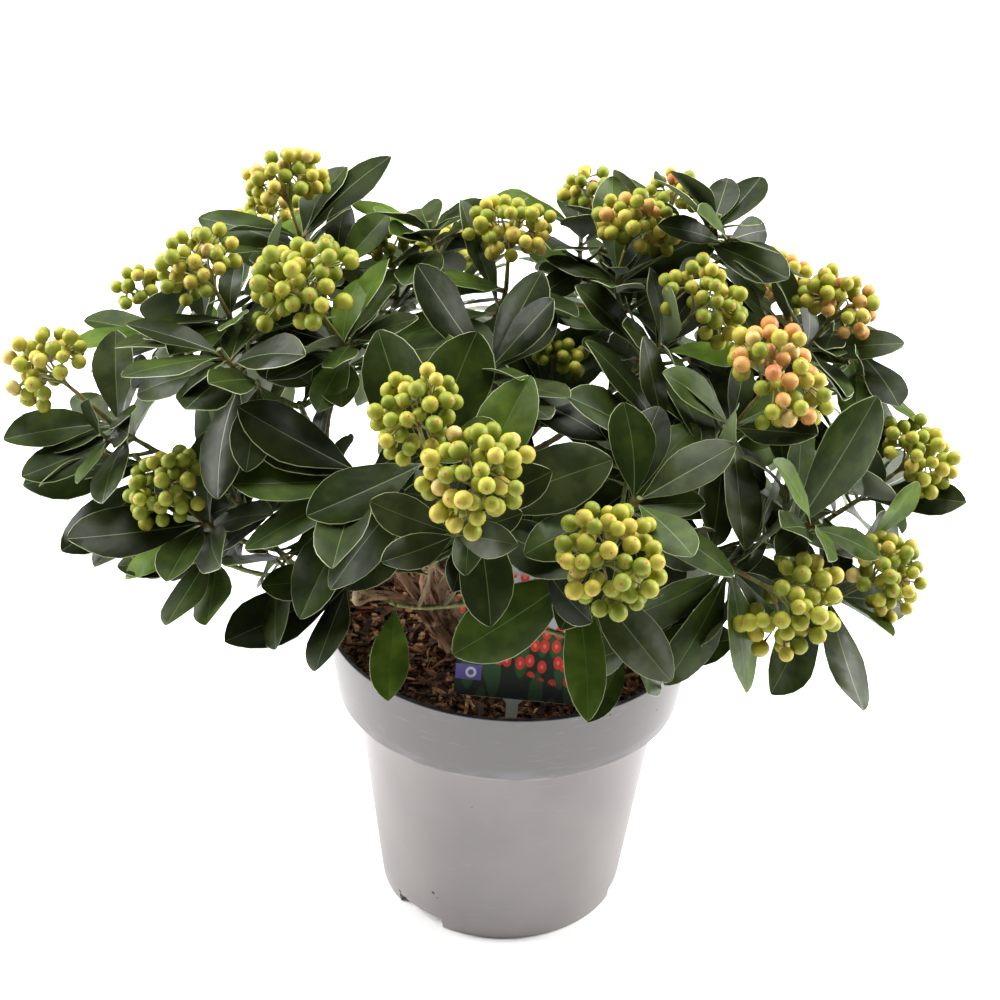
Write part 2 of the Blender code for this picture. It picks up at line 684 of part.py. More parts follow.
def notch_block(angle):
    """The curved block that a drain notch takes out of the foot, as a cutter."""
    inner, outer = FOOT_RADIUS - NOTCH_DEPTH, FOOT_RADIUS + 5 * OVERCUT
    low, high = -OVERCUT, NOTCH_HEIGHT
    points, faces = [], []
    for k in range(NOTCH_STEPS + 1):
        a = angle - NOTCH_SPAN / 2 + NOTCH_SPAN * k / NOTCH_STEPS
        for radius, height in ((inner, low), (outer, low), (outer, high), (inner, high)):
            points.append(Vector((math.sin(a) * radius, -math.cos(a) * radius, height)))
    for k in range(NOTCH_STEPS):
        for c in range(4):
            a, b = 4 * k + c, 4 * k + (c + 1) % 4
            faces.append((a, a + 4, b + 4, b))
    faces.append((0, 1, 2, 3))
    faces.append(tuple(4 * NOTCH_STEPS + c for c in (3, 2, 1, 0)))
    return add_object("notch", mesh_of("notch", points, faces))


def wall_radius(height):
    """The body's outer radius at a height below the collar."""
    return FOOT_RADIUS + (BODY_TOP_RADIUS - FOOT_RADIUS) * height / COLLAR_HEIGHT


def make_pot(finish):
    """Thin moulded shell with a collar, a thicker lip, a raised gutter ring and three drain notches."""
    inner_foot = wall_radius(GUTTER_HEIGHT) - WALL
    ledge = COLLAR_HEIGHT + WALL
    outline = [
        (0, 0), (FOOT_RADIUS - OUTER_EDGE, 0), (FOOT_RADIUS, OUTER_EDGE),
        (BODY_TOP_RADIUS, COLLAR_HEIGHT), (COLLAR_RADIUS - OUTER_EDGE, COLLAR_HEIGHT),
        (COLLAR_RADIUS, COLLAR_HEIGHT + OUTER_EDGE), (RIM_RADIUS, POT_HEIGHT - LIP_EDGE),
        (RIM_RADIUS - LIP_EDGE, POT_HEIGHT), (RIM_RADIUS - LIP, POT_HEIGHT),
        (COLLAR_RADIUS - WALL, ledge), (BODY_TOP_RADIUS - WALL, ledge), (inner_foot, GUTTER_HEIGHT),
        (GUTTER_RADIUS, GUTTER_HEIGHT), (GUTTER_RADIUS - GUTTER_SLOPE, FLOOR), (0, FLOOR),
    ]
    pot = turned("pot", outline, finish)
    cutters = []
    for k in range(NOTCH_COUNT):
        angle = NOTCH_ANGLE + math.tau * k / NOTCH_COUNT
        cutters.append(notch_block(angle))
        radius = FOOT_RADIUS - NOTCH_DEPTH / 2 - DRAIN_INSET
        centre = Vector((math.sin(angle) * radius, -math.cos(angle) * radius, NOTCH_HEIGHT - OVERCUT))
        drain = tube([centre, centre + Vector((0, 0, DRAIN_LENGTH))], (DRAIN_RADIUS, DRAIN_RADIUS), DRAIN_SIDES)
        cutters.append(add_object("drain", mesh_of("drain", *drain)))
    cut(pot, cutters)
    return pot


def make_mulch(finish):
    """The mulch that fills the pot, a little clear of its wall, with the slot for the label's spike."""
    ledge = COLLAR_HEIGHT + WALL
    flare = (RIM_RADIUS - LIP - COLLAR_RADIUS + WALL) / (POT_HEIGHT - ledge)
    top_radius = COLLAR_RADIUS - WALL - GAP * 3 + flare * (MULCH_TOP - ledge)
    outline = [
        (0, FLOOR + GAP), (GUTTER_RADIUS - GUTTER_SLOPE - GAP * 3, FLOOR + GAP),
        (GUTTER_RADIUS - GAP * 3, GUTTER_HEIGHT + GAP),
        (wall_radius(GUTTER_HEIGHT) - WALL - GAP * 2, GUTTER_HEIGHT + GAP),
        (BODY_TOP_RADIUS - WALL - GAP * 2, ledge + GAP), (COLLAR_RADIUS - WALL - GAP * 3, ledge + GAP),
        (top_radius, MULCH_TOP), (0, MULCH_TOP),
    ]
    mulch = turned("mulch", outline, finish)
    slot = add_object("slot", mesh_of("slot", *spike_solid(GAP * 1.5)))
    cut(mulch, [slot])
    return mulch


def label_frame():
    """Where the label's plate meets its spike, leaning back and turned a little."""
    lean = Quaternion((1, 0, 0), -LABEL_LEAN)
    roll = Quaternion((0, 1, 0), LABEL_ROLL)
    return Matrix.Translation(LABEL_FOOT) @ (lean @ roll).to_matrix().to_4x4()


def flat_solid(outline, thickness):
    """A plate whose outline is in X and Z, with its thickness along Y, placed by the label's frame."""
    frame = label_frame()
    count = len(outline)
    points = [frame @ Vector((x, y, z)) for y in (-thickness / 2, thickness / 2) for x, z in outline]
    faces = [tuple(range(count)), tuple(range(2 * count - 1, count - 1, -1))]
    for k in range(count):
        n = (k + 1) % count
        faces.append((k, k + count, n + count, n))
    return points, faces


def spike_solid(grown=0.0):
    half = SPIKE_WIDTH / 2 + grown
    low = -SPIKE_BELOW_PLATE - grown
    high = SPIKE_IN_PLATE
    outline = [(-half, low + SPIKE_POINT), (0, low), (half, low + SPIKE_POINT), (half, high), (-half, high)]
    return flat_solid(outline, LABEL_THICKNESS + 2 * grown)


def make_label(finish):
    """A plate with rounded corners on a pointed spike, one moulding."""
    half = LABEL_WIDTH / 2
    outline = []
    for x, z, first in ((half, 0, 270), (half, LABEL_HEIGHT, 0), (-half, LABEL_HEIGHT, 90), (-half, 0, 180)):
        centre_x = x - math.copysign(LABEL_CORNER, x)
        centre_z = z + LABEL_CORNER if z == 0 else z - LABEL_CORNER
        for step in range(CORNER_STEPS + 1):
            angle = math.radians(first + 90 * step / CORNER_STEPS)
            reach_x, reach_z = LABEL_CORNER * math.cos(angle), LABEL_CORNER * math.sin(angle)
            outline.append((centre_x + reach_x, centre_z + reach_z))
    plate = flat_solid(outline, LABEL_THICKNESS)
    return fuse("label", [plate, spike_solid()], finish)


def make_trunk(finish):
    """A short leaning stool, flared at its foot, from a flat cut at the mulch to the flat seat of the stems."""
    lean = (TRUNK_TOP - TRUNK_FOOT).normalized()
    control = TRUNK_FOOT + Vector((0, 0, TRUNK_RISE))
    path = bezier(TRUNK_FOOT, control, TRUNK_TOP, 5)
    path[-2] = TRUNK_TOP - lean * (path[-1] - path[-2]).length
    radii = [TRUNK_FLARE, *(TRUNK_RADIUS * swell for swell in TRUNK_SWELLS), TRUNK_RADIUS, TRUNK_RADIUS]
    return add_object("trunk", mesh_of("trunk", *tube(path, radii, TRUNK_SIDES, Vector((0, 0, 1)))), finish)


def clear_scene():
    for old in list(bpy.data.objects):
        bpy.data.objects.remove(old)


def main():
    clear_scene()
    plastic = material("pot plastic", (0.62, 0.59, 0.58), 0.45)
    bark_mulch = material("bark mulch", (0.10, 0.055, 0.035), 0.95)
    card = material("label plastic", (0.55, 0.53, 0.57), 0.35)
    bark = material("bark", (0.27, 0.19, 0.13), 0.85)
    green_wood = material("green wood", (0.16, 0.20, 0.07), 0.6)
    foliage = material("foliage", (0.045, 0.10, 0.025), 0.35)

    pot = make_pot(plastic)
    mulch = make_mulch(bark_mulch)
    label = make_label(card)
    trunk = make_trunk(bark)
    stems = grow_stems()
    boughs = grow_boughs(stems)

    space = Space()
    for made in (pot, mulch, label, trunk):
        corners = [vert.co.copy() for vert in made.data.vertices]
        space.add((corners, [tuple(face.vertices) for face in made.data.polygons]), made.name)
    for name, stem in stems.items():
        add_object("stem_" + name, mesh_of("stem", *stem.solid()), bark)
        space.add(stem.solid(), "stem " + name)
    for mass, bough in boughs.items():
        add_object("bough_" + mass, mesh_of("bough", *bough.solid()), green_wood)
        space.add(bough.solid(), "bough " + mass)

    plans, solids = {}, {}
    for mass, bough in boughs.items():
        stem, shoots, twigs = grow_twigs(mass, bough)
        plans[mass] = (stem, shoots, twigs)
        solids[mass] = [stem.solid(), *(twig.solid() for twig in twigs)]
        for twig in solids[mass]:
            space.add(twig, mass + " twigs")
        for shoot in shoots:
            if shoot.kind in HEADS:
                head = head_solids(shoot)
                solids[mass] += head
                for piece in head[1:]:
                    space.add(piece, mass + " head")
    leaves = place_leaves(space, plans)
    for mass, found in leaves.items():
        fuse("foliage_" + mass, solids[mass] + [leaf.solid() for leaf in found], foliage)


main()
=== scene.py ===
"""The looks of a skimmia in berry in its nursery pot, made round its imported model.

Metres, +Z up. The pot's underside is z = 0, its axis is Z, and -Y is the side that faces the viewer.
"""

import math
import random

import bmesh
import bpy
from mathutils import Matrix, Quaternion, Vector, noise
from mathutils.bvhtree import BVHTree
from mathutils.kdtree import KDTree


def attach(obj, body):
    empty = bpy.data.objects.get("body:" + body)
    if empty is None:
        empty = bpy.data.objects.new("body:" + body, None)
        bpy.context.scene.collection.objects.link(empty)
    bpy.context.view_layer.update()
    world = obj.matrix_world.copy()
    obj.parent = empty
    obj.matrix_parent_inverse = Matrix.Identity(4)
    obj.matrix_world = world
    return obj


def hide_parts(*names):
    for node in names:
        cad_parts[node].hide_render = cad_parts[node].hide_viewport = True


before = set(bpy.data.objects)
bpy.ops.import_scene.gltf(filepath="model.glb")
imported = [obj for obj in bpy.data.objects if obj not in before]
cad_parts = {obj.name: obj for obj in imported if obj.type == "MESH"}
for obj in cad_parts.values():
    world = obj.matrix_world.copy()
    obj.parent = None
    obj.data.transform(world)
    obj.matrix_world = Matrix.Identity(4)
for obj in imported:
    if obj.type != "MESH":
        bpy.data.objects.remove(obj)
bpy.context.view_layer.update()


# The view of the photograph: a long lens that stands above the plant, looks down on it by thirty degrees
# and is held a little askew. Depth of field stays off.
CAMERA_PLACE = Vector((-0.0112, -1.3364, 1.0963))
CAMERA_PITCH = math.radians(30.0)
CAMERA_ROLL = math.radians(2.3)
CAMERA_LENS = 78.64
CAMERA_SENSOR = 36.0

lens = bpy.data.cameras.new("camera")
lens.lens = CAMERA_LENS
lens.sensor_width = CAMERA_SENSOR
camera = bpy.data.objects.new("camera", lens)
bpy.context.scene.collection.objects.link(camera)
camera.matrix_world = (
    Matrix.Translation(CAMERA_PLACE)
    @ Matrix.Rotation(math.pi / 2 - CAMERA_PITCH, 4, "X")
    @ Matrix.Rotation(CAMERA_ROLL, 4, "Z")
)
bpy.context.scene.camera = camera


# The pot is injection moulded in grey plastic with a dark blue-grey inner layer that comes up over the lip.
# A wide collar stiffens the rim, a raised ring inside the foot carries the roots, and three notches drain
# it.
POT_HEIGHT = 0.230
RIM_RADIUS = 0.1335
COLLAR_HEIGHT = 0.173
COLLAR_RADIUS = 0.1258
BODY_TOP_RADIUS = 0.1125
FOOT_RADIUS = 0.0907
WALL = 0.0020
LIP = 0.0034
FLOOR = 0.0025
GUTTER_RADIUS = 0.068
GUTTER_HEIGHT = 0.0118
GUTTER_SLOPE = 0.003
POT_SIDES = 144
NOTCH_COUNT = 3
NOTCH_ANGLE = math.radians(-41.0)
NOTCH_SPAN = math.radians(28.0)
NOTCH_HEIGHT = 0.009
NOTCH_DEPTH = 0.016
DRAIN_RADIUS = 0.005
DRAIN_LENGTH = 0.010
DRAIN_INSET = 0.001
DRAIN_RISE = 0.003
# How far a cutter stands out of what it cuts
OVERCUT = 0.002
GREY_LAYER = 0
DARK_LAYER = 1
# Specks of dirt on the outside: degrees round from the front, height and radius
SPECKS = [
    (-31.0, 0.0335, 0.0019), (-29.0, 0.0300, 0.0008), (-54.5, 0.0105, 0.0022), (-50.0, 0.0095, 0.0012),
    (54.0, 0.2035, 0.0010), (32.0, 0.2235, 0.0012), (63.0, 0.0120, 0.0009), (-12.0, 0.1330, 0.0006),
    (118.0, 0.1100, 0.0014), (171.0, 0.0520, 0.0016), (-128.0, 0.1480, 0.0011), (140.0, 0.2050, 0.0012),
]


def paint(red, green, blue):
    """A colour from its red, green and blue as a screen gives them, 0 to 255."""
    shares = [c / 255 for c in (red, green, blue)]
    return (*(s / 12.92 if s <= 0.04045 else ((s + 0.055) / 1.055) ** 2.4 for s in shares), 1.0)


class Wire:
    """One output of a node. Arithmetic on it adds the Math or Vector Math node that does the sum."""

    def __init__(self, tree, socket):
        self.tree = tree
        self.socket = socket

    def sum_of(self, operation, *values):
        is_vector = any(
            isinstance(v, Vector) or (isinstance(v, Wire) and v.socket.type == "VECTOR") for v in values
        )
        kind = "ShaderNodeVectorMath" if is_vector else "ShaderNodeMath"
        return add_node(self.tree, kind, dict(enumerate(values)), operation=operation)

    def __add__(self, other):
        return self.sum_of("ADD", self, other)

    def __radd__(self, other):
        return self.sum_of("ADD", other, self)

    def __sub__(self, other):
        return self.sum_of("SUBTRACT", self, other)

    def __rsub__(self, other):
        return self.sum_of("SUBTRACT", other, self)

    def __mul__(self, other):
        return self.sum_of("MULTIPLY", self, other)

    def __rmul__(self, other):
        return self.sum_of("MULTIPLY", other, self)

    def __gt__(self, limit):
        return self.sum_of("GREATER_THAN", self, limit)

    def __lt__(self, limit):
        return self.sum_of("LESS_THAN", self, limit)

    def __abs__(self):
        return self.sum_of("ABSOLUTE", self)


def add_node(tree, kind, values=None, output=0, **settings):
    """Adds a node with the values or links of its sockets, and its settings. Returns one of its outputs."""
    node = tree.nodes.new(kind)
    for name, value in settings.items():
        setattr(node, name, value)
    for key, value in (values or {}).items():
        socket = node.inputs[key]
        if isinstance(value, Wire):
            tree.links.new(value.socket, socket)
        elif socket.type == "VECTOR" and isinstance(value, (int, float)):
            socket.default_value = (value, value, value)
        else:
            socket.default_value = value
    return Wire(tree, node.outputs[output])


def distance(first, second):
    """How far apart two places are."""
    return add_node(first.tree, "ShaderNodeVectorMath", {0: first, 1: second}, output=1, operation="DISTANCE")


def parts_of(vector):
    """The X, Y and Z of a vector."""
    first = add_node(vector.tree, "ShaderNodeSeparateXYZ", {0: vector})
    return [Wire(vector.tree, socket) for socket in first.socket.node.outputs]


class Finish:
    """A material being made: the fixed values of its shader, whose names have _ for each space of a socket's
    name, and the patterns that are led to its sockets."""

    def __init__(self, name, **fixed):
        self.material = bpy.data.materials.new(name)
        self.material.use_nodes = True
        self.tree = self.material.node_tree
        self.shader = self.tree.nodes["Principled BSDF"]
        for socket, value in fixed.items():
            self.shader.inputs[socket.replace("_", " ")].default_value = value
        self.place = add_node(self.tree, "ShaderNodeTexCoord", output="Object")

    def mottle(self, scale, detail=3.0, stretch=(1.0, 1.0, 1.0)):
        """Cloudy noise from 0 to 1, finer as scale grows."""
        place = self.place * Vector(stretch)
        return add_node(self.tree, "ShaderNodeTexNoise", {"Vector": place, "Scale": scale, "Detail": detail})

    def height(self):
        return parts_of(self.place)[2]

    def marked(self, name):
        """What an attribute of the mesh says at each place."""
        return add_node(self.tree, "ShaderNodeAttribute", output="Fac", attribute_name=name)

    def ease(self, value, low, high):
        """0 where value is under low, 1 where it is over high, and a smooth way between."""
        limits = {0: value, 1: low, 2: high}
        return add_node(self.tree, "ShaderNodeMapRange", limits, interpolation_type="SMOOTHSTEP")

    def blend(self, mask, first, second):
        """The first colour where mask is 0 and the second where it is 1."""
        colours = {0: mask, 6: first, 7: second}
        return add_node(self.tree, "ShaderNodeMix", colours, output=2, data_type="RGBA")

    def near(self, place, radius):
        """1 within radius of a place, fading at its ragged edge."""
        apart = distance(self.place, place)
        return 1 - self.ease(apart + self.mottle(700.0, 2.0) * (radius * 0.8), radius * 0.9, radius * 1.25)

    def lead(self, socket, wire):
        self.tree.links.new(wire.socket, self.shader.inputs[socket])

    def relief(self, height, depth):
        """Leads height, from 0 to 1, to the surface as bumps of this depth."""
        bumps = {"Height": height, "Distance": depth, "Strength": 1.0}
        self.lead("Normal", add_node(self.tree, "ShaderNodeBump", bumps))


def two_tone(name, scale, first, second, detail=3.0, **fixed):
    """A finish that wavers between two colours."""
    finish = Finish(name, **fixed)
    finish.lead("Base Color", finish.blend(finish.mottle(scale, detail), first, second))
    return finish


def finished(shape, name):
    """The mesh of a shape, which is then let go."""
    mesh = bpy.data.meshes.new(name)
    shape.to_mesh(mesh)
    shape.free()
    return mesh


def add_object(name, mesh, *finishes):
    made = bpy.data.objects.new(name, mesh)
    bpy.context.scene.collection.objects.link(made)
    for finish in finishes:
        mesh.materials.append(finish.material)
    return made


def bezier(start, control, end, count):
    """Points of a quadratic curve, ends included."""
    shares = [i / (count - 1) for i in range(count)]
    return [start * (1 - t) ** 2 + control * (2 * t * (1 - t)) + end * t ** 2 for t in shares]


def eased_outline(corners, steps=4):
    """(radius, height, layer) points of an outline, with each corner eased by the distance that it names."""
    points = []
    for n, (radius, height, ease, layer) in enumerate(corners):
        corner = Vector((radius, height))
        if ease == 0:
            points.append((radius, height, layer))
            continue
        before = (Vector(corners[n - 1][:2]) - corner).normalized()
        after = (Vector(corners[n + 1][:2]) - corner).normalized()
        for point in bezier(corner + before * ease, corner, corner + after * ease, steps + 1):
            points.append((point.x, point.y, layer))
    return points


def turned(name, outline):
    """A closed mesh turned about Z from (radius, height, layer) points that start and end on the axis."""
    shape = bmesh.new()
    rings = []
    for radius, height, _ in outline:
        bearings = [math.tau * k / POT_SIDES for k in range(POT_SIDES if radius else 1)]
        ring = [(radius * math.cos(bearing), radius * math.sin(bearing), height) for bearing in bearings]
        rings.append([shape.verts.new(place) for place in ring])
    for low, high, point in zip(rings, rings[1:], outline):
        for k in range(POT_SIDES):
            n = k + 1
            corners = [low[k % len(low)], low[n % len(low)], high[n % len(high)], high[k % len(high)]]
            face = shape.faces.new(list(dict.fromkeys(corners)))
            face.material_index = point[2]
    return finished(shape, name)


def round_pot(angle, radius, height):
    """The place at an angle from the front, anticlockwise, a radius from the axis and a height."""
    return Vector((math.sin(angle) * radius, -math.cos(angle) * radius, height))


def skin_faces(rings, sides):
    """The faces of a closed body of several rings of points, with a flat cut at each end."""
    faces = []
    for i in range(rings - 1):
        for k in range(sides):
            a, b = i * sides + k, i * sides + (k + 1) % sides
            faces.append((a, b, b + sides, a + sides))
    return faces + [tuple(reversed(range(sides))), tuple(range((rings - 1) * sides, rings * sides))]


def solid_mesh(name, points, faces):
    mesh = bpy.data.meshes.new(name)
    mesh.from_pydata(points, [], faces)
    return mesh


def notch_block(angle, steps=12):
    """The curved block that a notch takes out of the foot, as a cutter."""
    inner, outer = FOOT_RADIUS - NOTCH_DEPTH, FOOT_RADIUS + OVERCUT * 5
    section = ((inner, -OVERCUT), (outer, -OVERCUT), (outer, NOTCH_HEIGHT), (inner, NOTCH_HEIGHT))
    bearings = [angle - NOTCH_SPAN / 2 + NOTCH_SPAN * k / steps for k in range(steps + 1)]
    points = [round_pot(bearing, radius, height) for bearing in bearings for radius, height in section]
    faces = [(face[0], *face[:0:-1]) for face in skin_faces(steps + 1, len(section))]
    return add_object("notch", solid_mesh("notch", points, faces))


def drain_plug(angle):
    """The short round bar that a drain hole takes out above a notch, as a cutter."""
    centre = round_pot(angle, FOOT_RADIUS - NOTCH_DEPTH / 2 - DRAIN_INSET, NOTCH_HEIGHT + DRAIN_RISE)
    shape = bmesh.new()
    bmesh.ops.create_cone(
        shape, cap_ends=True, segments=24, radius1=DRAIN_RADIUS, radius2=DRAIN_RADIUS, depth=DRAIN_LENGTH,
        matrix=Matrix.Translation(centre),
    )
    return add_object("drain", finished(shape, "drain"))


def plain_mesh(made):
    """What the viewport shows of an object, as a mesh of its own."""
    return bpy.data.meshes.new_from_object(made.evaluated_get(bpy.context.evaluated_depsgraph_get()))


def outside_at(height):
    """The radius of the pot's outside at a height."""
    if height > COLLAR_HEIGHT:
        collar_slope = (RIM_RADIUS - COLLAR_RADIUS) / (POT_HEIGHT - COLLAR_HEIGHT)
        return COLLAR_RADIUS + (height - COLLAR_HEIGHT) * collar_slope
    return FOOT_RADIUS + (BODY_TOP_RADIUS - FOOT_RADIUS) * height / COLLAR_HEIGHT


inner_foot = outside_at(GUTTER_HEIGHT) - WALL
ledge = COLLAR_HEIGHT + WALL
# Radius, height, how far the corner is eased, and the layer that the wall shows from there on
pot_outline = eased_outline([
    (0, 0, 0, GREY_LAYER),
    (FOOT_RADIUS, 0, 0.0016, GREY_LAYER),
    (BODY_TOP_RADIUS, COLLAR_HEIGHT, 0.0010, GREY_LAYER),
    (COLLAR_RADIUS, COLLAR_HEIGHT, 0.0014, GREY_LAYER),
    (RIM_RADIUS, POT_HEIGHT, 0.0009, DARK_LAYER),
    (RIM_RADIUS - LIP, POT_HEIGHT, 0.0009, DARK_LAYER),
    (COLLAR_RADIUS - WALL, ledge, 0.0010, DARK_LAYER),
    (BODY_TOP_RADIUS - WALL, ledge, 0.0010, DARK_LAYER),
    (inner_foot, GUTTER_HEIGHT, 0, DARK_LAYER),
    (GUTTER_RADIUS, GUTTER_HEIGHT, 0, DARK_LAYER),
    (GUTTER_RADIUS - GUTTER_SLOPE, FLOOR, 0, DARK_LAYER),
    (0, FLOOR, 0, DARK_LAYER),
])

grey_plastic = Finish("grey pot plastic", Specular_IOR_Level=0.65)
clouds = grey_plastic.mottle(11.0, 4.0)
scratches = grey_plastic.ease(grey_plastic.mottle(60.0, 4.0, (1.0, 1.0, 9.0)), 0.60, 0.72)
up_collar = grey_plastic.height() - COLLAR_HEIGHT
collar_edge = 1 - grey_plastic.ease(abs(up_collar - 0.0009), 0.0004, 0.0022)
# A patchy paler line along the collar's lower edge: partly wear and partly a painted highlight.
worn_and_highlit_edge = collar_edge * grey_plastic.ease(grey_plastic.mottle(38.0, 3.0), 0.34, 0.52)
dirt = 0.0
for degrees, height, radius in SPECKS:
    dirt = dirt + grey_plastic.near(round_pot(math.radians(degrees), outside_at(height), height), radius)
grey = grey_plastic.blend(grey_plastic.ease(clouds, 0.35, 0.68), paint(122, 116, 116), paint(131, 125, 124))
# Painted shade: the whole collar is painted darker than the body, for the shade of the foliage that hangs
# over it.
on_collar = grey_plastic.ease(up_collar, 0.0004, 0.0026)
grey = grey_plastic.blend(on_collar, grey, paint(96, 92, 92))
low_collar = on_collar * (1 - grey_plastic.ease(up_collar, 0.004, 0.013))
rubbed = grey_plastic.ease(grey_plastic.mottle(26.0, 5.0, (1.0, 1.0, 2.6)), 0.44, 0.64)
grey = grey_plastic.blend(low_collar * rubbed * 0.6, grey, paint(122, 118, 124))
grey = grey_plastic.blend(scratches * 0.16, grey, paint(160, 154, 154))
# Paler collar edge line: partly wear, partly painted highlight.
grey = grey_plastic.blend(worn_and_highlit_edge * 0.45, grey, paint(162, 156, 148))
foot_dust = (1 - grey_plastic.ease(grey_plastic.height(), 0.002, 0.020)) * grey_plastic.mottle(90.0, 4.0)
grey = grey_plastic.blend(foot_dust * 0.35, grey, paint(158, 148, 138))
grey = grey_plastic.blend(dirt, grey, paint(52, 38, 30))
grey_plastic.lead("Base Color", grey)
grey_plastic.lead("Roughness", 0.36 + clouds * 0.14 + scratches * 0.10 + dirt * 0.3 + collar_edge * 0.22)
grey_plastic.relief(grey_plastic.mottle(1500.0, 2.0) + scratches * 0.4, 0.00006)

dark_plastic = Finish("dark inner plastic", Specular_IOR_Level=0.5)
dust = dark_plastic.ease(dark_plastic.mottle(70.0, 4.0), 0.45, 0.75)
dark_plastic.lead("Base Color", dark_plastic.blend(dust, paint(38, 42, 50), paint(74, 76, 82)))
dark_plastic.lead("Roughness", 0.38 + dust * 0.3)
dark_plastic.relief(dark_plastic.mottle(1200.0, 2.0), 0.00005)

pot = add_object("pot_shell", turned("pot_shell", pot_outline), grey_plastic, dark_plastic)
notch_angles = [NOTCH_ANGLE + math.tau * k / NOTCH_COUNT for k in range(NOTCH_COUNT)]
cutters = [make(angle) for angle in notch_angles for make in (notch_block, drain_plug)]
for cutter in cutters:
    difference = pot.modifiers.new("Cut", "BOOLEAN")
    difference.operation = "DIFFERENCE"
    difference.object = cutter
cut_mesh = plain_mesh(pot)
pot.modifiers.clear()
pot.data = cut_mesh
for cutter in cutters:
    bpy.data.objects.remove(cutter)
pot.data.shade_smooth()
pot.data.set_sharp_from_angle(angle=math.radians(34.0))
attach(pot, "root")
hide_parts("pot")


# The bed is composted bark that fills the pot to two fingers under its rim. It is a turned body whose top
# swells and sinks, and lies a little lower along the pot's wall.
MULCH_TOP = 0.210
GAP = 0.0003
BED_RINGS = 46
SWELL_HEIGHT = 0.0025
CRUMB_HEIGHT = 0.0012
WALL_SINK = 0.003
WALL_SINK_WIDTH = 0.012

flare = (RIM_RADIUS - LIP - COLLAR_RADIUS + WALL) / (POT_HEIGHT - ledge)
bed_radius = COLLAR_RADIUS - WALL - GAP * 3 + flare * (MULCH_TOP - ledge)
bed_outline = [
    (0, FLOOR + GAP, 0), (GUTTER_RADIUS - 0.004, FLOOR + GAP, 0),
    (GUTTER_RADIUS - GAP * 3, GUTTER_HEIGHT + GAP, 0),
    (inner_foot - GAP * 2, GUTTER_HEIGHT + GAP, 0), (BODY_TOP_RADIUS - WALL - GAP * 2, ledge + GAP, 0),
    (COLLAR_RADIUS - WALL - GAP * 3, ledge + GAP, 0),
]
for ring in range(BED_RINGS + 1):
    bed_outline.append((bed_radius * (1 - ring / BED_RINGS), MULCH_TOP, 0))
bed_mesh = turned("mulch_bed", bed_outline)
for vert in bed_mesh.vertices:
    if vert.co.z > MULCH_TOP - 0.0005:
        swell = noise.fractal(vert.co * 38.0, 0.7, 2.1, 4)
        crumbs = noise.noise(vert.co * 260.0)
        inward = min(1.0, (bed_radius - Vector(vert.co.xy).length) / WALL_SINK_WIDTH)
        vert.co.z += inward * (swell * SWELL_HEIGHT + crumbs * CRUMB_HEIGHT) - (1 - inward) * WALL_SINK
bed_mesh.shade_smooth()

compost = Finish("composted bark", Specular_IOR_Level=0.25)
fibres = compost.mottle(240.0, 5.0, (1.0, 0.35, 1.0))
lumps = compost.ease(compost.mottle(70.0, 5.0), 0.38, 0.66)
brown = compost.blend(lumps, paint(34, 21, 15), paint(74, 47, 31))
brown = compost.blend(compost.ease(fibres, 0.58, 0.70), brown, paint(116, 76, 48))
compost.lead("Base Color", brown)
compost.lead("Roughness", 0.80 + lumps * 0.15)
compost.relief(fibres + lumps, 0.0014)

bed = add_object("mulch_bed", bed_mesh, compost)
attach(bed, "root")
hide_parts("mulch")


# Bark chips: shredded bark lies loose on the bed as stringy slivers, flat flakes and crumbs, from nearly
# black to a fresh reddish tan. They are strewn over it at random, most of them lying flat, and none goes
# through the wall.
CHIP_KINDS = {
    "sliver": {"length": 0.0170, "width": 0.0030, "depth": 0.0014, "bend": 0.0018, "density": 21000},
    "splinter": {"length": 0.0100, "width": 0.0011, "depth": 0.0008, "bend": 0.0008, "density": 34000},
    "flake": {"length": 0.0085, "width": 0.0046, "depth": 0.0011, "bend": 0.0009, "density": 12000},
    "crumb": {"length": 0.0040, "width": 0.0030, "depth": 0.0022, "bend": 0.0003, "density": 26000},
}
CHIP_TONES = {
    "black bark": (paint(36, 24, 17), paint(60, 40, 28), 0.26),
    "brown bark": (paint(70, 45, 30), paint(104, 69, 46), 0.34),
    "red bark": (paint(92, 52, 32), paint(128, 78, 50), 0.19),
    "tan bark": (paint(136, 98, 64), paint(172, 132, 94), 0.21),
}
CHIP_STATIONS = 5
CHIP_LIFT = 0.0042
# Over this width along the pot's wall no chip has its middle, and those that reach in are pressed back
PRESSED = 0.004


def new_growth(name, inputs):
    """A Geometry Nodes tree with a geometry in and out and other named inputs, and the inputs' wires."""
    tree = bpy.data.node_groups.new(name, "GeometryNodeTree")
    tree.interface.new_socket("Geometry", in_out="INPUT", socket_type="NodeSocketGeometry")
    for label, kind in inputs.items():
        tree.interface.new_socket(label, in_out="INPUT", socket_type=kind)
    tree.interface.new_socket("Geometry", in_out="OUTPUT", socket_type="NodeSocketGeometry")
    start = tree.nodes.new("NodeGroupInput")
    return tree, {socket.name: Wire(tree, socket) for socket in start.outputs if socket.name}


def end_growth(tree, wire):
    end = tree.nodes.new("NodeGroupOutput")
    tree.links.new(wire.socket, end.inputs[0])


def grown(tree, mesh, values):
    """The plain mesh that a tree makes of a mesh. Its inputs are set by identifier before it is evaluated."""
    bearer = add_object("bearer", mesh)
    growth = bearer.modifiers.new("Growth", "NODES")
    growth.node_group = tree
    for item in tree.interface.items_tree:
        if item.in_out == "INPUT" and item.name in values:
            growth[item.identifier] = values[item.name]
    made = plain_mesh(bearer)
    bpy.data.objects.remove(bearer)
    return made


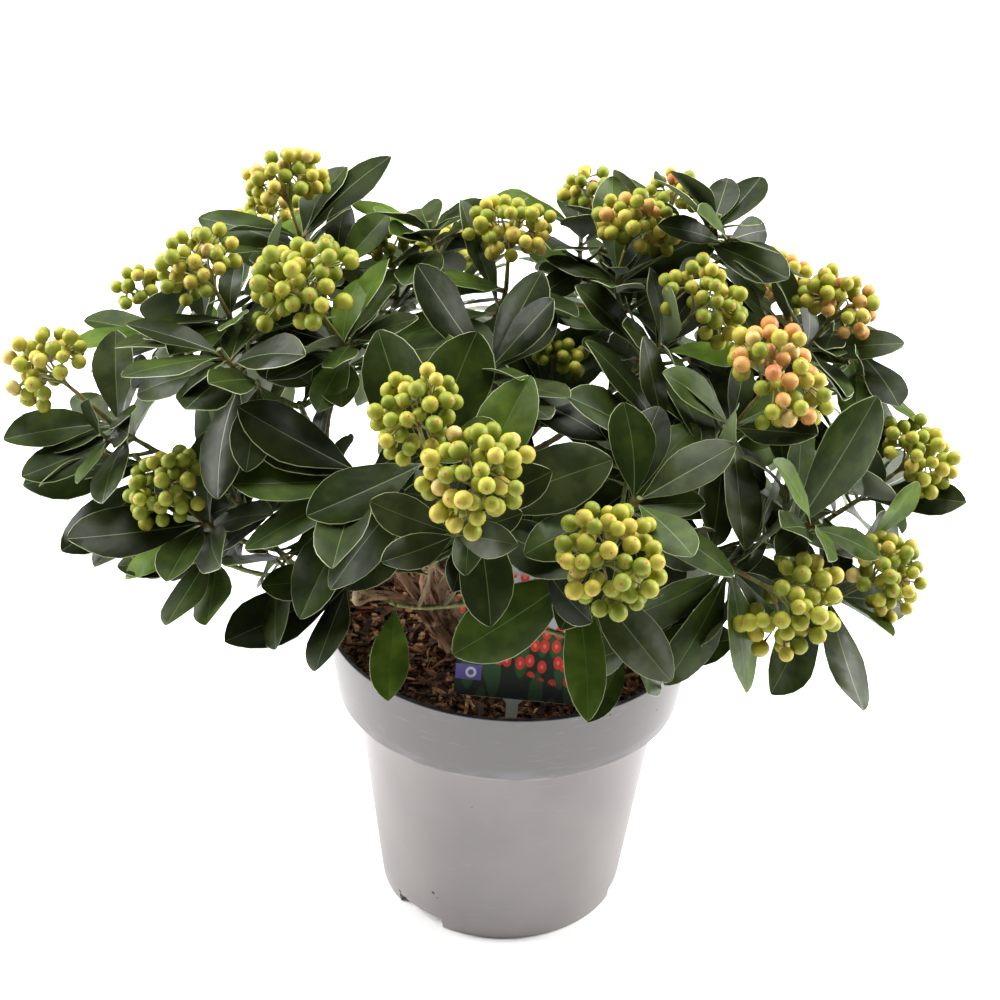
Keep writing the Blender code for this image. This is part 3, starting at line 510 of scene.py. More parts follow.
def chip_mesh(kind, length, width, depth, bend):
    """A ragged four-sided sliver along X, narrow at both ends."""
    chance = random.Random(f"chip {kind}")
    points = []
    for i in range(CHIP_STATIONS):
        share = i / (CHIP_STATIONS - 1)
        full = 0.35 + 0.65 * math.sin(math.pi * (0.12 + 0.76 * share))
        for side, up in ((-1, -1), (1, -1), (1, 1), (-1, 1)):
            points.append((
                length * (share - 0.5) + length * 0.05 * chance.uniform(-1, 1),
                side * width / 2 * full * chance.uniform(0.7, 1.2) + bend * math.sin(math.pi * share),
                up * depth / 2 * full * chance.uniform(0.6, 1.2) + bend * share * (1 - share),
            ))
    shape = bmesh.new()
    verts = [shape.verts.new(point) for point in points]
    for corners in skin_faces(CHIP_STATIONS, 4):
        shape.faces.new([verts[corner] for corner in corners])
    bmesh.ops.recalc_face_normals(shape, faces=shape.faces)
    return finished(shape, "chip")


def random_vector(low, high, seed):
    """The wire of a vector that differs from point to point."""
    limits = {0: low, 1: high, "Seed": seed}
    return add_node(seed.tree, "FunctionNodeRandomValue", limits, data_type="FLOAT_VECTOR")


def planted(points, piece, **turn_and_scale):
    """The wire of real copies of an object on points."""
    copied = add_node(points.tree, "GeometryNodeObjectInfo", {"Object": piece}, output="Geometry")
    copies = add_node(
        points.tree, "GeometryNodeInstanceOnPoints", {"Points": points, "Instance": copied, **turn_and_scale}
    )
    return add_node(points.tree, "GeometryNodeRealizeInstances", {"Geometry": copies})


def painted(geometry, material, **where):
    """The wire of a geometry with a material on it, or on a Selection of it."""
    return add_node(
        geometry.tree, "GeometryNodeSetMaterial", {"Geometry": geometry, "Material": material, **where}
    )


strew, strew_in = new_growth("Strewn chips", {
    "Chip": "NodeSocketObject", "Density": "NodeSocketFloat", "Seed": "NodeSocketInt",
    "Lift": "NodeSocketFloat", "Tone": "NodeSocketMaterial",
})
bed_x, bed_y, bed_z = parts_of(add_node(strew, "GeometryNodeInputPosition"))
inside = (bed_x * bed_x + bed_y * bed_y) < (bed_radius - PRESSED) ** 2
on_top = bed_z > MULCH_TOP - WALL_SINK * 4
strewn = add_node(
    strew, "GeometryNodeDistributePointsOnFaces",
    {"Mesh": strew_in["Geometry"], "Selection": inside * on_top, "Density": strew_in["Density"],
     "Seed": strew_in["Seed"]},
    distribute_method="RANDOM",
)
lie = random_vector((-0.5, -0.42, 0.0), (0.5, 0.42, math.tau), strew_in["Seed"])
chip_size = random_vector((0.45, 0.6, 0.6), (1.35, 1.3, 1.3), strew_in["Seed"] + 7)
raised = random_vector((0.0, 0.0, 0.0), (0.0, 0.0, 1.0), strew_in["Seed"] + 13)
lifted = add_node(strew, "GeometryNodeSetPosition", {"Geometry": strewn, "Offset": raised * strew_in["Lift"]})
chips = planted(lifted, strew_in["Chip"], Rotation=lie, Scale=chip_size)
end_growth(strew, painted(chips, strew_in["Tone"]))

chip_meshes = []
for number, (tone, (dark, light, share)) in enumerate(CHIP_TONES.items()):
    chip_finish = Finish(tone, Specular_IOR_Level=0.3)
    grain = chip_finish.mottle(520.0, 4.0, (1.0, 1.0, 0.5))
    chip_finish.lead("Base Color", chip_finish.blend(chip_finish.ease(grain, 0.36, 0.66), dark, light))
    chip_finish.lead("Roughness", 0.72 + grain * 0.2)
    chip_finish.relief(grain, 0.0005)
    for kind, sizes in CHIP_KINDS.items():
        shape_sizes = {k: v for k, v in sizes.items() if k != "density"}
        template = add_object("chip", chip_mesh(f"{kind} {tone}", **shape_sizes))
        chip_meshes.append(grown(strew, bed_mesh, {
            "Chip": template, "Density": sizes["density"] * share, "Seed": 31 * number + len(kind),
            "Lift": CHIP_LIFT, "Tone": chip_finish.material,
        }))
        bpy.data.objects.remove(template)


def joined(name, meshes):
    """One object made of several meshes, with all their materials."""
    parts = [add_object(name if n == 0 else "part", mesh) for n, mesh in enumerate(meshes)]
    with bpy.context.temp_override(active_object=parts[0], selected_editable_objects=parts):
        bpy.ops.object.join()
    return parts[0]


chips_piece = joined("bark_chips", chip_meshes)
for vert in chips_piece.data.vertices:
    out = Vector(vert.co.xy).length
    free = bed_radius + flare * (vert.co.z - MULCH_TOP) - PRESSED
    if out > free:
        pressed = (free + PRESSED * (1 - math.exp((free - out) / PRESSED))) / out
        vert.co.x *= pressed
        vert.co.y *= pressed
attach(chips_piece, "root")


# Trunk and stems: a short woody stool, flared where it leaves the bed, splits into six stems that fork
# about a hand above it. Their bark is thin and tan, with fine ridges along the wood and darker furrows
# between them.
TRUNK_FOOT = Vector((-0.034, -0.015, MULCH_TOP + GAP))
TRUNK_TOP = Vector((-0.052, -0.020, 0.243))
TRUNK_FLARE = 0.021
TRUNK_RADIUS = 0.0150
TRUNK_SINK = 0.006
STEM_RADIUS = 0.0046
STEM_WAIST = 0.0037
STEM_KNUCKLE = 0.0062
STEM_SEAT = 0.0098
STEM_FORKS = {
    "left": Vector((-0.130, 0.005, 0.325)),
    "low_left": Vector((-0.105, -0.055, 0.275)),
    "front": Vector((-0.050, -0.085, 0.325)),
    "centre": Vector((-0.005, 0.020, 0.350)),
    "right": Vector((0.080, -0.015, 0.310)),
    "back": Vector((-0.010, 0.085, 0.305)),
}
TRUNK_POINTS = 24
FLARE_HEIGHT = 0.012
WOOD_STEP = 0.0022
WOOD_SIDES = 20
WOOD_VOXEL = 0.0011
RIDGES = 2.6
RIDGES_ALONG = 55.0
RIDGE_HEIGHT = 0.05
KNOTS_ALONG = 90.0
KNOT_HEIGHT = 0.35


def across(direction):
    """A unit vector at right angles to direction, level where it can be."""
    level = Vector((0, 0, 1)).cross(direction)
    if level.length < 1e-4:
        level = Vector((1, 0, 0))
    return level.normalized()


def at_bearing(side, up, angle):
    """The direction at an angle from side towards up."""
    return side * math.cos(angle) + up * math.sin(angle)


def tube(path, radii, sides, start_along=None):
    """Points and faces of a closed limb along path. Its ends are flat cuts square to the path."""
    points = []
    last = len(path) - 1
    tangents = [(path[min(i + 1, last)] - path[max(i - 1, 0)]).normalized() for i in range(len(path))]
    tangents[0] = (start_along or path[1] - path[0]).normalized()
    tangents[-1] = (path[-1] - path[-2]).normalized()
    side = across(tangents[0])
    for centre, tangent, radius in zip(path, tangents, radii):
        side = (side - tangent * side.dot(tangent)).normalized()
        up = tangent.cross(side)
        points += [centre + at_bearing(side, up, math.tau * k / sides) * radius for k in range(sides)]
    return points, skin_faces(len(path), sides)


def tapered(first, last, count):
    return [first + (last - first) * i / (count - 1) for i in range(count)]


def path_length(path):
    return sum((b - a).length for a, b in zip(path, path[1:]))


class Limb:
    """A stem, bough or twig: the curve it follows, its radius along it, and the way its first cut faces."""

    def __init__(self, start, along, end, radii, sides, end_along=None, count=6, cut=None):
        reach = (end - start).length
        if end_along is None:
            control = start + along * reach * 0.45
        else:
            control = end - end_along * reach * 0.45
        self.curve = (start, control, end)
        self.path = bezier(*self.curve, count)
        self.radii = radii if len(radii) == count else tapered(radii[0], radii[1], count)
        self.sides = sides
        self.cut = cut or along

    def end_direction(self):
        return (self.path[-1] - self.path[-2]).normalized()

    def solid(self):
        return tube(self.path, self.radii, self.sides, self.cut)

    def fine(self, step):
        """The path with a point every step or so, and the radius at each."""
        count = max(6, round(path_length(self.path) / step))
        radii = []
        for i in range(count):
            at = i / (count - 1) * (len(self.radii) - 1)
            first = min(int(at), len(self.radii) - 2)
            radii.append(self.radii[first] + (self.radii[first + 1] - self.radii[first]) * (at - first))
        return bezier(*self.curve, count), radii


def seats_round(centre, axis, count, radius, targets):
    """Places round a flat cut, one for each target, in the order in which the targets stand round it."""
    side = across(axis)
    up = axis.cross(side)
    bearing = [math.atan2((t - centre).dot(up), (t - centre).dot(side)) for t in targets]
    order = sorted(range(count), key=lambda i: bearing[i])
    turn = math.atan2(
        sum(math.sin(bearing[i] - math.tau * n / count) for n, i in enumerate(order)),
        sum(math.cos(bearing[i] - math.tau * n / count) for n, i in enumerate(order)),
    )
    places = [None] * count
    for n, i in enumerate(order):
        places[i] = centre + at_bearing(side, up, math.tau * n / count + turn) * radius
    return places


def grow_stems():
    """The six stems, seated round the trunk's flat top."""
    axis = (TRUNK_TOP - TRUNK_FOOT).normalized()
    names = list(STEM_FORKS)
    seats = seats_round(TRUNK_TOP + axis * GAP, axis, len(names), STEM_SEAT, [STEM_FORKS[n] for n in names])
    radii = [STEM_RADIUS, *[STEM_WAIST] * 5, STEM_KNUCKLE]
    return {n: Limb(seat, axis, STEM_FORKS[n], radii, 7, count=7) for n, seat in zip(names, seats)}


MASSES = {
    "far_left": ("left", [("head", (-0.314, -0.040, 0.434), (-0.278, -0.035, 0.395)),
                          ("whorl", (-0.260, -0.040, 0.370))]),
    "left_high": ("left", [("head", (-0.211, -0.020, 0.501)), ("small_head", (-0.266, 0.040, 0.458))]),
    "upper_left": ("left", [("wide_head", (-0.143, -0.060, 0.510), (-0.118, -0.055, 0.470)),
                            ("whorl", (-0.195, -0.075, 0.470))]),
    "top_left": ("left", [("head", (-0.166, 0.045, 0.538)), ("small_head", (-0.095, 0.065, 0.488))]),
    "left_low": ("low_left", [("head", (-0.230, -0.100, 0.380)), ("whorl", (-0.190, -0.085, 0.368))]),
    "left_hem": ("low_left", [("whorl", (-0.205, -0.105, 0.336)), ("whorl", (-0.158, -0.110, 0.345))]),
    "front_left": ("low_left", [("whorl", (-0.100, -0.120, 0.412)), ("whorl", (-0.110, -0.125, 0.330))]),
    "front_hem": ("front", [("whorl", (-0.082, -0.100, 0.300)), ("whorl", (0.084, -0.125, 0.290))]),
    "front_centre": ("front", [("head", (-0.065, -0.150, 0.469), (-0.058, -0.128, 0.428)),
                               ("wide_head", (-0.027, -0.190, 0.448), (-0.026, -0.158, 0.412))]),
    "front_right": ("front", [("wide_head", (0.058, -0.190, 0.395), (0.045, -0.155, 0.366)),
                              ("whorl", (0.076, -0.140, 0.410))]),
    "heart": ("front", [("small_head", (0.022, -0.030, 0.452)), ("whorl", (-0.022, -0.060, 0.462))]),
    "top_centre": ("centre", [("head", (-0.012, 0.020, 0.519)), ("whorl", (-0.067, 0.065, 0.505))]),
    "top_back": ("centre", [("small_head", (0.044, 0.120, 0.512)), ("small_head", (0.106, 0.135, 0.506))]),
    "top_right": ("centre", [("head", (0.071, 0.040, 0.521)), ("whorl", (0.130, 0.052, 0.524))]),
    "upper_right": ("centre", [("head", (0.119, -0.020, 0.495), (0.095, -0.018, 0.460))]),
    "right_high": ("right", [("head", (0.218, 0.040, 0.468)), ("whorl", (0.241, 0.050, 0.436))]),
    "right_front": ("right", [("wide_head", (0.162, -0.080, 0.470), (0.141, -0.070, 0.430)),
                              ("whorl", (0.095, -0.085, 0.432))]),
    "far_right": ("right", [("head", (0.272, -0.020, 0.383)), ("head", (0.250, -0.080, 0.325))]),
    "right_low": ("right", [("wide_head", (0.179, -0.140, 0.340), (0.143, -0.122, 0.350)),
                            ("whorl", (0.198, -0.100, 0.375))]),
    "back_left": ("back", [("head", (-0.190, 0.150, 0.460)), ("whorl", (-0.230, 0.110, 0.390))]),
    "back_centre": ("back", [("head", (-0.060, 0.215, 0.420)), ("whorl", (-0.115, 0.200, 0.375))]),
    "back_right": ("back", [("head", (0.090, 0.225, 0.430)), ("whorl", (0.020, 0.235, 0.370))]),
    "right_back": ("back", [("head", (0.190, 0.150, 0.430)), ("whorl", (0.235, 0.120, 0.370))]),
}
HEART = Vector((-0.020, 0.0, 0.260))
RISE = 0.60
BOUGH_RADIUS = 0.0024
BOUGH_TIP_RADIUS = 0.0020
BOUGH_SPREAD = 0.5
MASS_STEM = 0.070
# Berry heads: outer radius, and how far the head's middle stands above its whorl
HEADS = {"wide_head": (0.036, 0.040), "head": (0.030, 0.036), "small_head": (0.021, 0.030)}
KNUCKLE_POINTS = 7
STEM_END = 0.0039


class Shoot:
    """One growing tip: its axis, the top of its whorl and what it bears."""

    def __init__(self, kind, place, node=None):
        place = Vector(place)
        self.kind = kind
        self.head_centre = place
        if node:
            self.node = Vector(node)
            self.axis = (place - self.node).normalized()
        else:
            outward = (place - HEART).normalized()
            self.axis = (outward + Vector((0, 0, RISE))).normalized()
            self.node = place - self.axis * (HEADS[kind][1] if kind in HEADS else 0.0)


def shoots_of(mass):
    return [Shoot(*shoot) for shoot in MASSES[mass][1]]


def grow_boughs(stems):
    """One bough for each mass, seated round its stem's flat tip. It ends where the foliage begins."""
    boughs = {}
    for stem_name, stem in stems.items():
        masses = [m for m in MASSES if MASSES[m][0] == stem_name]
        middles = [sum((s.node for s in shoots_of(m)), Vector()) / len(MASSES[m][1]) for m in masses]
        tip, axis = stem.path[-1], stem.end_direction()
        seats = seats_round(tip + axis * GAP, axis, len(masses), STEM_KNUCKLE - BOUGH_RADIUS, middles)
        for mass, middle, seat in zip(masses, middles, seats):
            span = (seat - middle).length
            end = middle + (seat - middle).normalized() * min(MASS_STEM, span * 0.6) - Vector((0, 0, 0.006))
            along = (axis + (seat - tip).normalized() * BOUGH_SPREAD).normalized()
            boughs[mass] = Limb(seat, along, end, (BOUGH_RADIUS, BOUGH_TIP_RADIUS), 5, count=5, cut=axis)
    return boughs


def gathered(name, solids):
    """One mesh of many closed solids."""
    points, faces = [], []
    for more_points, more_faces in solids:
        first = len(points)
        points += more_points
        faces += [tuple(first + corner for corner in face) for face in more_faces]
    return solid_mesh(name, points, faces)


stems = grow_stems()
lean = (TRUNK_TOP - TRUNK_FOOT).normalized()
trunk_root = TRUNK_FOOT - Vector((0, 0, TRUNK_SINK))
trunk_path = bezier(trunk_root, TRUNK_FOOT + Vector((0, 0, FLARE_HEIGHT)), TRUNK_TOP, TRUNK_POINTS)
trunk_shares = [i / (TRUNK_POINTS - 1) for i in range(TRUNK_POINTS)]
trunk_radii = [TRUNK_RADIUS + (TRUNK_FLARE - TRUNK_RADIUS) * (1 - share) ** 3 for share in trunk_shares]
trunk_radii[-1] = trunk_radii[-2] = TRUNK_RADIUS * 0.97
wood_paths = [(trunk_path, trunk_radii)]
for stem in stems.values():
    path, radii = stem.fine(WOOD_STEP)
    radii = [min(radius, STEM_END) for radius in radii]
    root = [path[0] - lean * d for d in (0.016, 0.009, 0.004)]
    wood_paths.append((root + path, [STEM_RADIUS * 0.9, STEM_RADIUS, STEM_RADIUS, *radii]))

boughs = grow_boughs(stems)
for bough in boughs.values():
    path, radii = bough.fine(WOOD_STEP)
    first = path[:KNUCKLE_POINTS]
    root = [path[0] - (path[1] - path[0]).normalized() * d for d in (0.008, 0.004)]
    wood_paths.append((root + first, tapered(BOUGH_RADIUS * 1.3, BOUGH_RADIUS, len(root) + len(first))))

wood_solids = [tube(path, radii, WOOD_SIDES) for path, radii in wood_paths]
rough_wood = add_object("rough_wood", gathered("rough_wood", wood_solids))
remesh = rough_wood.modifiers.new("Remesh", "REMESH")
remesh.mode = "VOXEL"
remesh.voxel_size = WOOD_VOXEL
smooth = rough_wood.modifiers.new("Smooth", "SMOOTH")
smooth.factor = 0.6
smooth.iterations = 6
wood_mesh = plain_mesh(rough_wood)
bpy.data.objects.remove(rough_wood)

along_wood = KDTree(sum(len(path) for path, _ in wood_paths))
wood_points = []
for path, radii in wood_paths:
    walked = 0.0
    for i, (here, radius) in enumerate(zip(path, radii)):
        ahead = path[min(i + 1, len(path) - 1)] - path[max(i - 1, 0)]
        along_wood.insert(here, len(wood_points))
        wood_points.append((here, ahead.normalized(), walked, radius))
        walked += ahead.length / 2
along_wood.balance()
furrow = wood_mesh.attributes.new("furrow", "FLOAT", "POINT")
wood_normals = [v.normal.copy() for v in wood_mesh.vertices]
for vert, normal in zip(wood_mesh.vertices, wood_normals):
    _, index, _ = along_wood.find(vert.co)
    centre, ahead, walked, radius = wood_points[index]
    side = across(ahead)
    off = vert.co - centre
    angle = math.atan2(off.dot(ahead.cross(side)), off.dot(side))
    walked += off.dot(ahead)
    spin = Vector((math.cos(angle) * RIDGES, math.sin(angle) * RIDGES, walked * RIDGES_ALONG + index // 60))
    ridges = noise.fractal(spin, 0.8, 2.2, 4)
    knots = max(0.0, noise.noise(Vector((walked * KNOTS_ALONG, angle * 1.2, index // 40))) - 0.35)
    vert.co += normal * radius * (ridges * RIDGE_HEIGHT + knots * KNOT_HEIGHT)
    furrow.data[vert.index].value = min(1.0, max(0.0, 0.5 + ridges * 0.9))
wood_mesh.shade_smooth()

bark = Finish("tan bark skin", Specular_IOR_Level=0.3)
ridge = bark.marked("furrow")
weather = bark.ease(bark.mottle(120.0, 4.0), 0.36, 0.68)
tan = bark.blend(weather, paint(138, 105, 80), paint(168, 134, 106))
tan = bark.blend(bark.ease(bark.mottle(34.0, 3.0), 0.52, 0.72) * 0.6, tan, paint(122, 116, 98))
bark.lead("Base Color", bark.blend(bark.ease(ridge, 0.10, 0.62), paint(88, 62, 45), tan))
bark.lead("Roughness", 0.68 + weather * 0.2)
bark.relief(bark.mottle(900.0, 4.0) + ridge, 0.0004)

wood = add_object("trunk_and_stems", wood_mesh, bark)
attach(wood, "root")
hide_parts("trunk", *("stem_" + name for name in stems))


# Boughs: each stem's knuckle bears the young limbs of the last two years. Their skin is smooth and olive
# green, ringed by the scars of fallen leaves, and turns brown towards the knuckle.
SCAR_SPACING = 0.011
SCAR_SWELL = 0.16
SCAR_WIDTH = 0.13
BEND = 0.0011
LIMB_STEP = 0.0018
BOUGH_SIDES = 10
# How far from the knuckles the skin is wholly green
BOUGH_YOUTH = 0.09
LIMB_CREASE = math.radians(60.0)
SEED = 20


def far_place(chance):
    """A place picked far off, so that noise read from there on differs from one limb or head to the next."""
    return Vector([chance.uniform(-9, 9) for _ in range(3)])


def scarred(limb, sides, seed, sunk=0.0, beyond=0.0):
    """The solid of a young limb: a finely bent tube with a swollen ring at each leaf scar."""
    chance = random.Random(f"{SEED} scars {seed}")
    path, radii = limb.fine(LIMB_STEP)
    first = (path[1] - path[0]).normalized()
    last = (path[-1] - path[-2]).normalized()
    if sunk:
        path = [path[0] - first * sunk] + path
        radii = [radii[0]] + radii
    if beyond:
        path = path + [path[-1] + last * beyond]
        radii = radii + [radii[-1]]
    phase = chance.uniform(0, 1)
    wander = far_place(chance)
    walked, bent, swollen = 0.0, [], []
    for i, (here, radius) in enumerate(zip(path, radii)):
        walked += (here - path[max(i - 1, 0)]).length
        beat = (walked / SCAR_SPACING + phase) % 1.0
        swell = SCAR_SWELL * math.exp(-((beat - 0.5) / SCAR_WIDTH) ** 2)
        loose = math.sin(math.pi * i / (len(path) - 1))
        bent.append(here + noise.noise_vector(wander + here * 40.0) * BEND * loose)
        swollen.append(radius * (1 + swell + 0.05 * noise.noise(here * 300.0)))
    return tube(bent, swollen, sides)


def limb_mesh(name, solids, feet, reach):
    """The mesh of many limbs. It notes how young the skin is: 0 by the nearest foot, 1 at reach from it."""
    mesh = gathered(name, solids)
    youth = [min(1.0, min((vert.co - foot).length for foot in feet) / reach) for vert in mesh.vertices]
    mesh.attributes.new("youth", "FLOAT", "POINT").data.foreach_set("value", youth)
    mesh.shade_smooth()
    mesh.set_sharp_from_angle(angle=LIMB_CREASE)
    return mesh


green_skin = Finish("olive young bark", Specular_IOR_Level=0.4)
youth = green_skin.marked("youth")
streaks = green_skin.ease(green_skin.mottle(300.0, 4.0, (1.0, 1.0, 0.4)), 0.38, 0.66)
olive = green_skin.blend(streaks, paint(82, 92, 46), paint(116, 122, 66))
woody = green_skin.blend(streaks, paint(104, 82, 58), paint(138, 116, 84))
fresh = green_skin.ease(youth + green_skin.mottle(60.0) * 0.5, 0.55, 1.05)
green_skin.lead("Base Color", green_skin.blend(fresh, woody, olive))
green_skin.lead("Roughness", 0.5 + streaks * 0.2)
green_skin.relief(streaks, 0.0003)

# Without a seed, noise_vector differs from run to run
noise.seed_set(SEED)
bough_solids = [scarred(bough, BOUGH_SIDES, mass, sunk=0.004, beyond=0.002) for mass, bough in boughs.items()]
knuckles = [stem.path[-1] for stem in stems.values()]
bough_piece = add_object("boughs", limb_mesh("boughs", bough_solids, knuckles, BOUGH_YOUTH), green_skin)
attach(bough_piece, "root")
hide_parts(*("bough_" + mass for mass in boughs))


# Twigs: this year's growth inside each mass, from the bough's end to the whorls of leaves, with short side
# twigs from the leaf joints. They are thin, green and a little ringed.
TWIG_RADIUS = 0.0020
TWIG_TIP_RADIUS = 0.0016
FORK_SHARE = 0.28
SIDE_TWIGS = 2
SIDE_TWIG_LENGTH = (0.024, 0.040)
SIDE_TWIG_TILT = (38.0, 62.0)
SIDE_TIP_RADIUS = 0.0012
TWIG_SIDES = 8
SIDE_TWIG_SIDES = 6
TWIG_YOUTH = 0.06


def grow_twigs(mass, bough):
    """The mass's own stem and the twig to each shoot. The stem starts just clear of the bough."""
    shoots = shoots_of(mass)
    along = bough.end_direction()
    start = bough.path[-1] + along * GAP
    middle = sum((s.node for s in shoots), Vector()) / len(shoots)
    fork = start + (along * 0.6 + (middle - start).normalized() * 0.4) * (middle - start).length * FORK_SHARE
    stem = Limb(start, along, fork + along * 0.002, (TWIG_RADIUS, TWIG_RADIUS), 3, count=3)
    twigs = []
    for n, shoot in enumerate(shoots):
        root = fork - along * (0.003 + 0.0016 * n) + across(along) * 0.0002 * n
        tip = shoot.node + shoot.axis * 0.002
        twigs.append(Limb(root, along, tip, (TWIG_RADIUS, TWIG_TIP_RADIUS), 3, shoot.axis, count=4))
    return stem, shoots, twigs


def point_back_from_tip(path, distance):
    """The point of path that lies this far before its end."""
    for a, b in zip(reversed(path[:-1]), reversed(path[1:])):
        step = (b - a).length
        if distance <= step:
            return b + (a - b) * (distance / step)
        distance -= step
    return path[0].copy()


def round_axis(axis, bearing, tilt):
    """The direction that leans from axis by tilt, towards a bearing round it."""
    side = across(axis)
    return at_bearing(axis, at_bearing(side, axis.cross(side), bearing), tilt).normalized()


def side_twigs(mass, shoots, twigs):
    """Short shoots that spring from the twigs."""
    chance = random.Random(f"{SEED} side {mass}")
    found = []
    for shoot, twig in zip(shoots, twigs):
        length = path_length(twig.path)
        for k in range(SIDE_TWIGS):
            root = point_back_from_tip(twig.path, min(length * 0.8, 0.024 + 0.018 * k))
            bearing = chance.uniform(0, math.tau)
            aim = round_axis(shoot.axis, bearing, math.radians(chance.uniform(*SIDE_TWIG_TILT)))
            tip = root + aim * chance.uniform(*SIDE_TWIG_LENGTH)
            turn = (aim + shoot.axis * 0.8).normalized()
            found.append(Limb(root, aim, tip, (TWIG_TIP_RADIUS, SIDE_TIP_RADIUS), 5, turn, count=5))
    return found


plans = {mass: grow_twigs(mass, bough) for mass, bough in boughs.items()}
sides = {mass: side_twigs(mass, plans[mass][1], plans[mass][2]) for mass in boughs}


# Leaves stand in whorls under each head and along the twigs. They are leathery, widest past the middle,
# with a short reddish stalk, a sunk pale midrib, a fine cream margin and a duller, paler underside.
FRONT_LEAVES = {
    "far_left": [(0, -0.345, -0.055, 0.386), (0, -0.275, 0.005, 0.443), (0, -0.327, -0.080, 0.373),
                 (1, -0.332, -0.060, 0.352), (1, -0.305, -0.080, 0.316), (1, -0.282, -0.085, 0.308)],
    "left_high": [(0, -0.235, 0.010, 0.522), (0, -0.225, -0.075, 0.466), (1, -0.310, 0.060, 0.424)],
    "upper_left": [(0, -0.178, -0.030, 0.528), (0, -0.092, 0.008, 0.502), (0, -0.112, -0.115, 0.455),
                   (1, -0.205, -0.140, 0.462)],
    "top_left": [(0, -0.094, 0.083, 0.545), (0, -0.128, 0.096, 0.532), (0, -0.228, 0.062, 0.501),
                 (1, -0.070, 0.010, 0.482)],
    "left_low": [(0, -0.220, -0.155, 0.345), (0, -0.290, -0.125, 0.360), (1, -0.210, -0.045, 0.430),
                 (1, -0.175, -0.020, 0.385)],
    "left_hem": [(0, -0.218, -0.170, 0.322), (0, -0.195, -0.165, 0.320), (1, -0.180, -0.158, 0.360)],
    "front_left": [(0, -0.180, -0.105, 0.446), (0, -0.182, -0.128, 0.403), (0, -0.172, -0.150, 0.368),
                   (1, -0.186, -0.155, 0.300), (1, -0.178, -0.095, 0.336), (1, -0.125, -0.185, 0.300)],
    "front_hem": [(0, -0.079, -0.168, 0.268), (1, 0.052, -0.175, 0.262)],
    "front_centre": [(0, -0.131, -0.157, 0.399), (0, -0.116, -0.172, 0.354), (0, -0.092, -0.090, 0.496),
                     (0, -0.030, -0.085, 0.496), (1, 0.057, -0.138, 0.436), (1, 0.045, -0.172, 0.376),
                     (1, -0.014, -0.203, 0.352), (1, 0.005, -0.112, 0.479)],
    "front_right": [(0, -0.036, -0.182, 0.316), (0, 0.050, -0.203, 0.284), (0, 0.102, -0.192, 0.308),
                    (1, 0.115, -0.081, 0.434), (1, 0.136, -0.120, 0.441)],
    "heart": [(1, -0.070, -0.050, 0.525), (1, 0.010, -0.020, 0.510)],
    "top_centre": [(0, -0.057, -0.020, 0.500), (0, -0.046, 0.042, 0.533), (1, -0.090, 0.010, 0.520)],
    "top_right": [(0, 0.058, 0.090, 0.535), (0, 0.130, 0.045, 0.515), (1, 0.162, 0.106, 0.533),
                  (1, 0.170, -0.005, 0.505)],
    "right_high": [(0, 0.262, 0.022, 0.448), (1, 0.255, -0.015, 0.420), (1, 0.225, -0.018, 0.408)],
    "right_front": [(0, 0.147, -0.134, 0.373), (0, 0.185, -0.120, 0.450), (1, 0.098, -0.017, 0.441)],
    "far_right": [(0, 0.305, -0.045, 0.370), (1, 0.232, -0.145, 0.260), (1, 0.175, -0.135, 0.262)],
    "right_low": [(0, 0.069, -0.158, 0.334), (0, 0.099, -0.162, 0.286), (0, 0.151, -0.168, 0.285),
                  (0, 0.205, -0.172, 0.300), (1, 0.232, -0.062, 0.450), (1, 0.184, -0.060, 0.435)],
}
WHORL_LENGTH = 0.028
# No leaf reaches below this, save those that are listed one by one
HEM = 0.268
# The opening at the front of the crown, through which the label and the trunk show, from the mulch towards
# the viewer. Each is x from, x to, y from, y to.
WINDOWS = [(-0.085, -0.030, -0.125, 0.060), (-0.030, 0.048, -0.125, -0.030)]
WINDOW_REACH = Vector((0, -0.26, 0.15))
# Where the photograph shows sky, soil, label or stems through or beside the crown: x, y and radius in its
# pixels
OPENINGS = [
    (168, 432, 30), (272, 480, 9), (290, 522, 12), (245, 572, 13), (292, 395, 9), (460, 318, 9),
    (516, 281, 11), (570, 335, 8), (620, 388, 11), (20, 560, 30), (80, 600, 32), (150, 635, 50),
    (200, 660, 44), (275, 695, 38), (318, 700, 24), (750, 640, 7), (785, 716, 20), (720, 722, 14),
    (900, 700, 42), (940, 660, 50), (960, 540, 40), (925, 350, 24), (905, 285, 42), (830, 225, 50),
    (800, 195, 36), (640, 160, 14), (540, 158, 28), (425, 182, 26), (400, 200, 12), (130, 225, 50),
    (60, 270, 50), (200, 180, 40), (345, 140, 16), (515, 578, 17), (462, 596, 10), (540, 655, 30),
    (490, 692, 16), (425, 590, 20), (428, 655, 30), (455, 628, 22), (632, 690, 12), (375, 690, 14),
    (410, 700, 20), (20, 620, 40), (360, 650, 10),
]
FRAME_PIXELS = 1000
HEAD_FLATNESS = 0.88
HOLLOW_SHARE = 0.80
LEAVES = {"wide_head": 7, "head": 6, "small_head": 5, "whorl": 8}
OLD_LEAVES = 2
GOLDEN_ANGLE = math.radians(137.5)
LEAF_LENGTH = (0.076, 0.100)
LEAF_SLENDERNESS = (0.39, 0.46)
LEAF_THICKNESS = 0.0016
LEAF_STATIONS = ((0.36, 0.92), (0.74, 0.86))
LEAF_MIDDLE = 0.48
LOWEST_TILT = math.radians(112.0)
HIGHEST_TILT = math.radians(40.0)
TILT_SPREAD = math.radians(8.0)
DROOP = (0.10, 0.28)
LEAF_TRIES = (
    (0, 0), (24, 0), (-24, 0), (0, -16), (0, 16), (48, -8), (-48, -8), (24, 20), (-24, 20), (72, 0), (-72, 0)
)
CLEARANCE = 0.0009
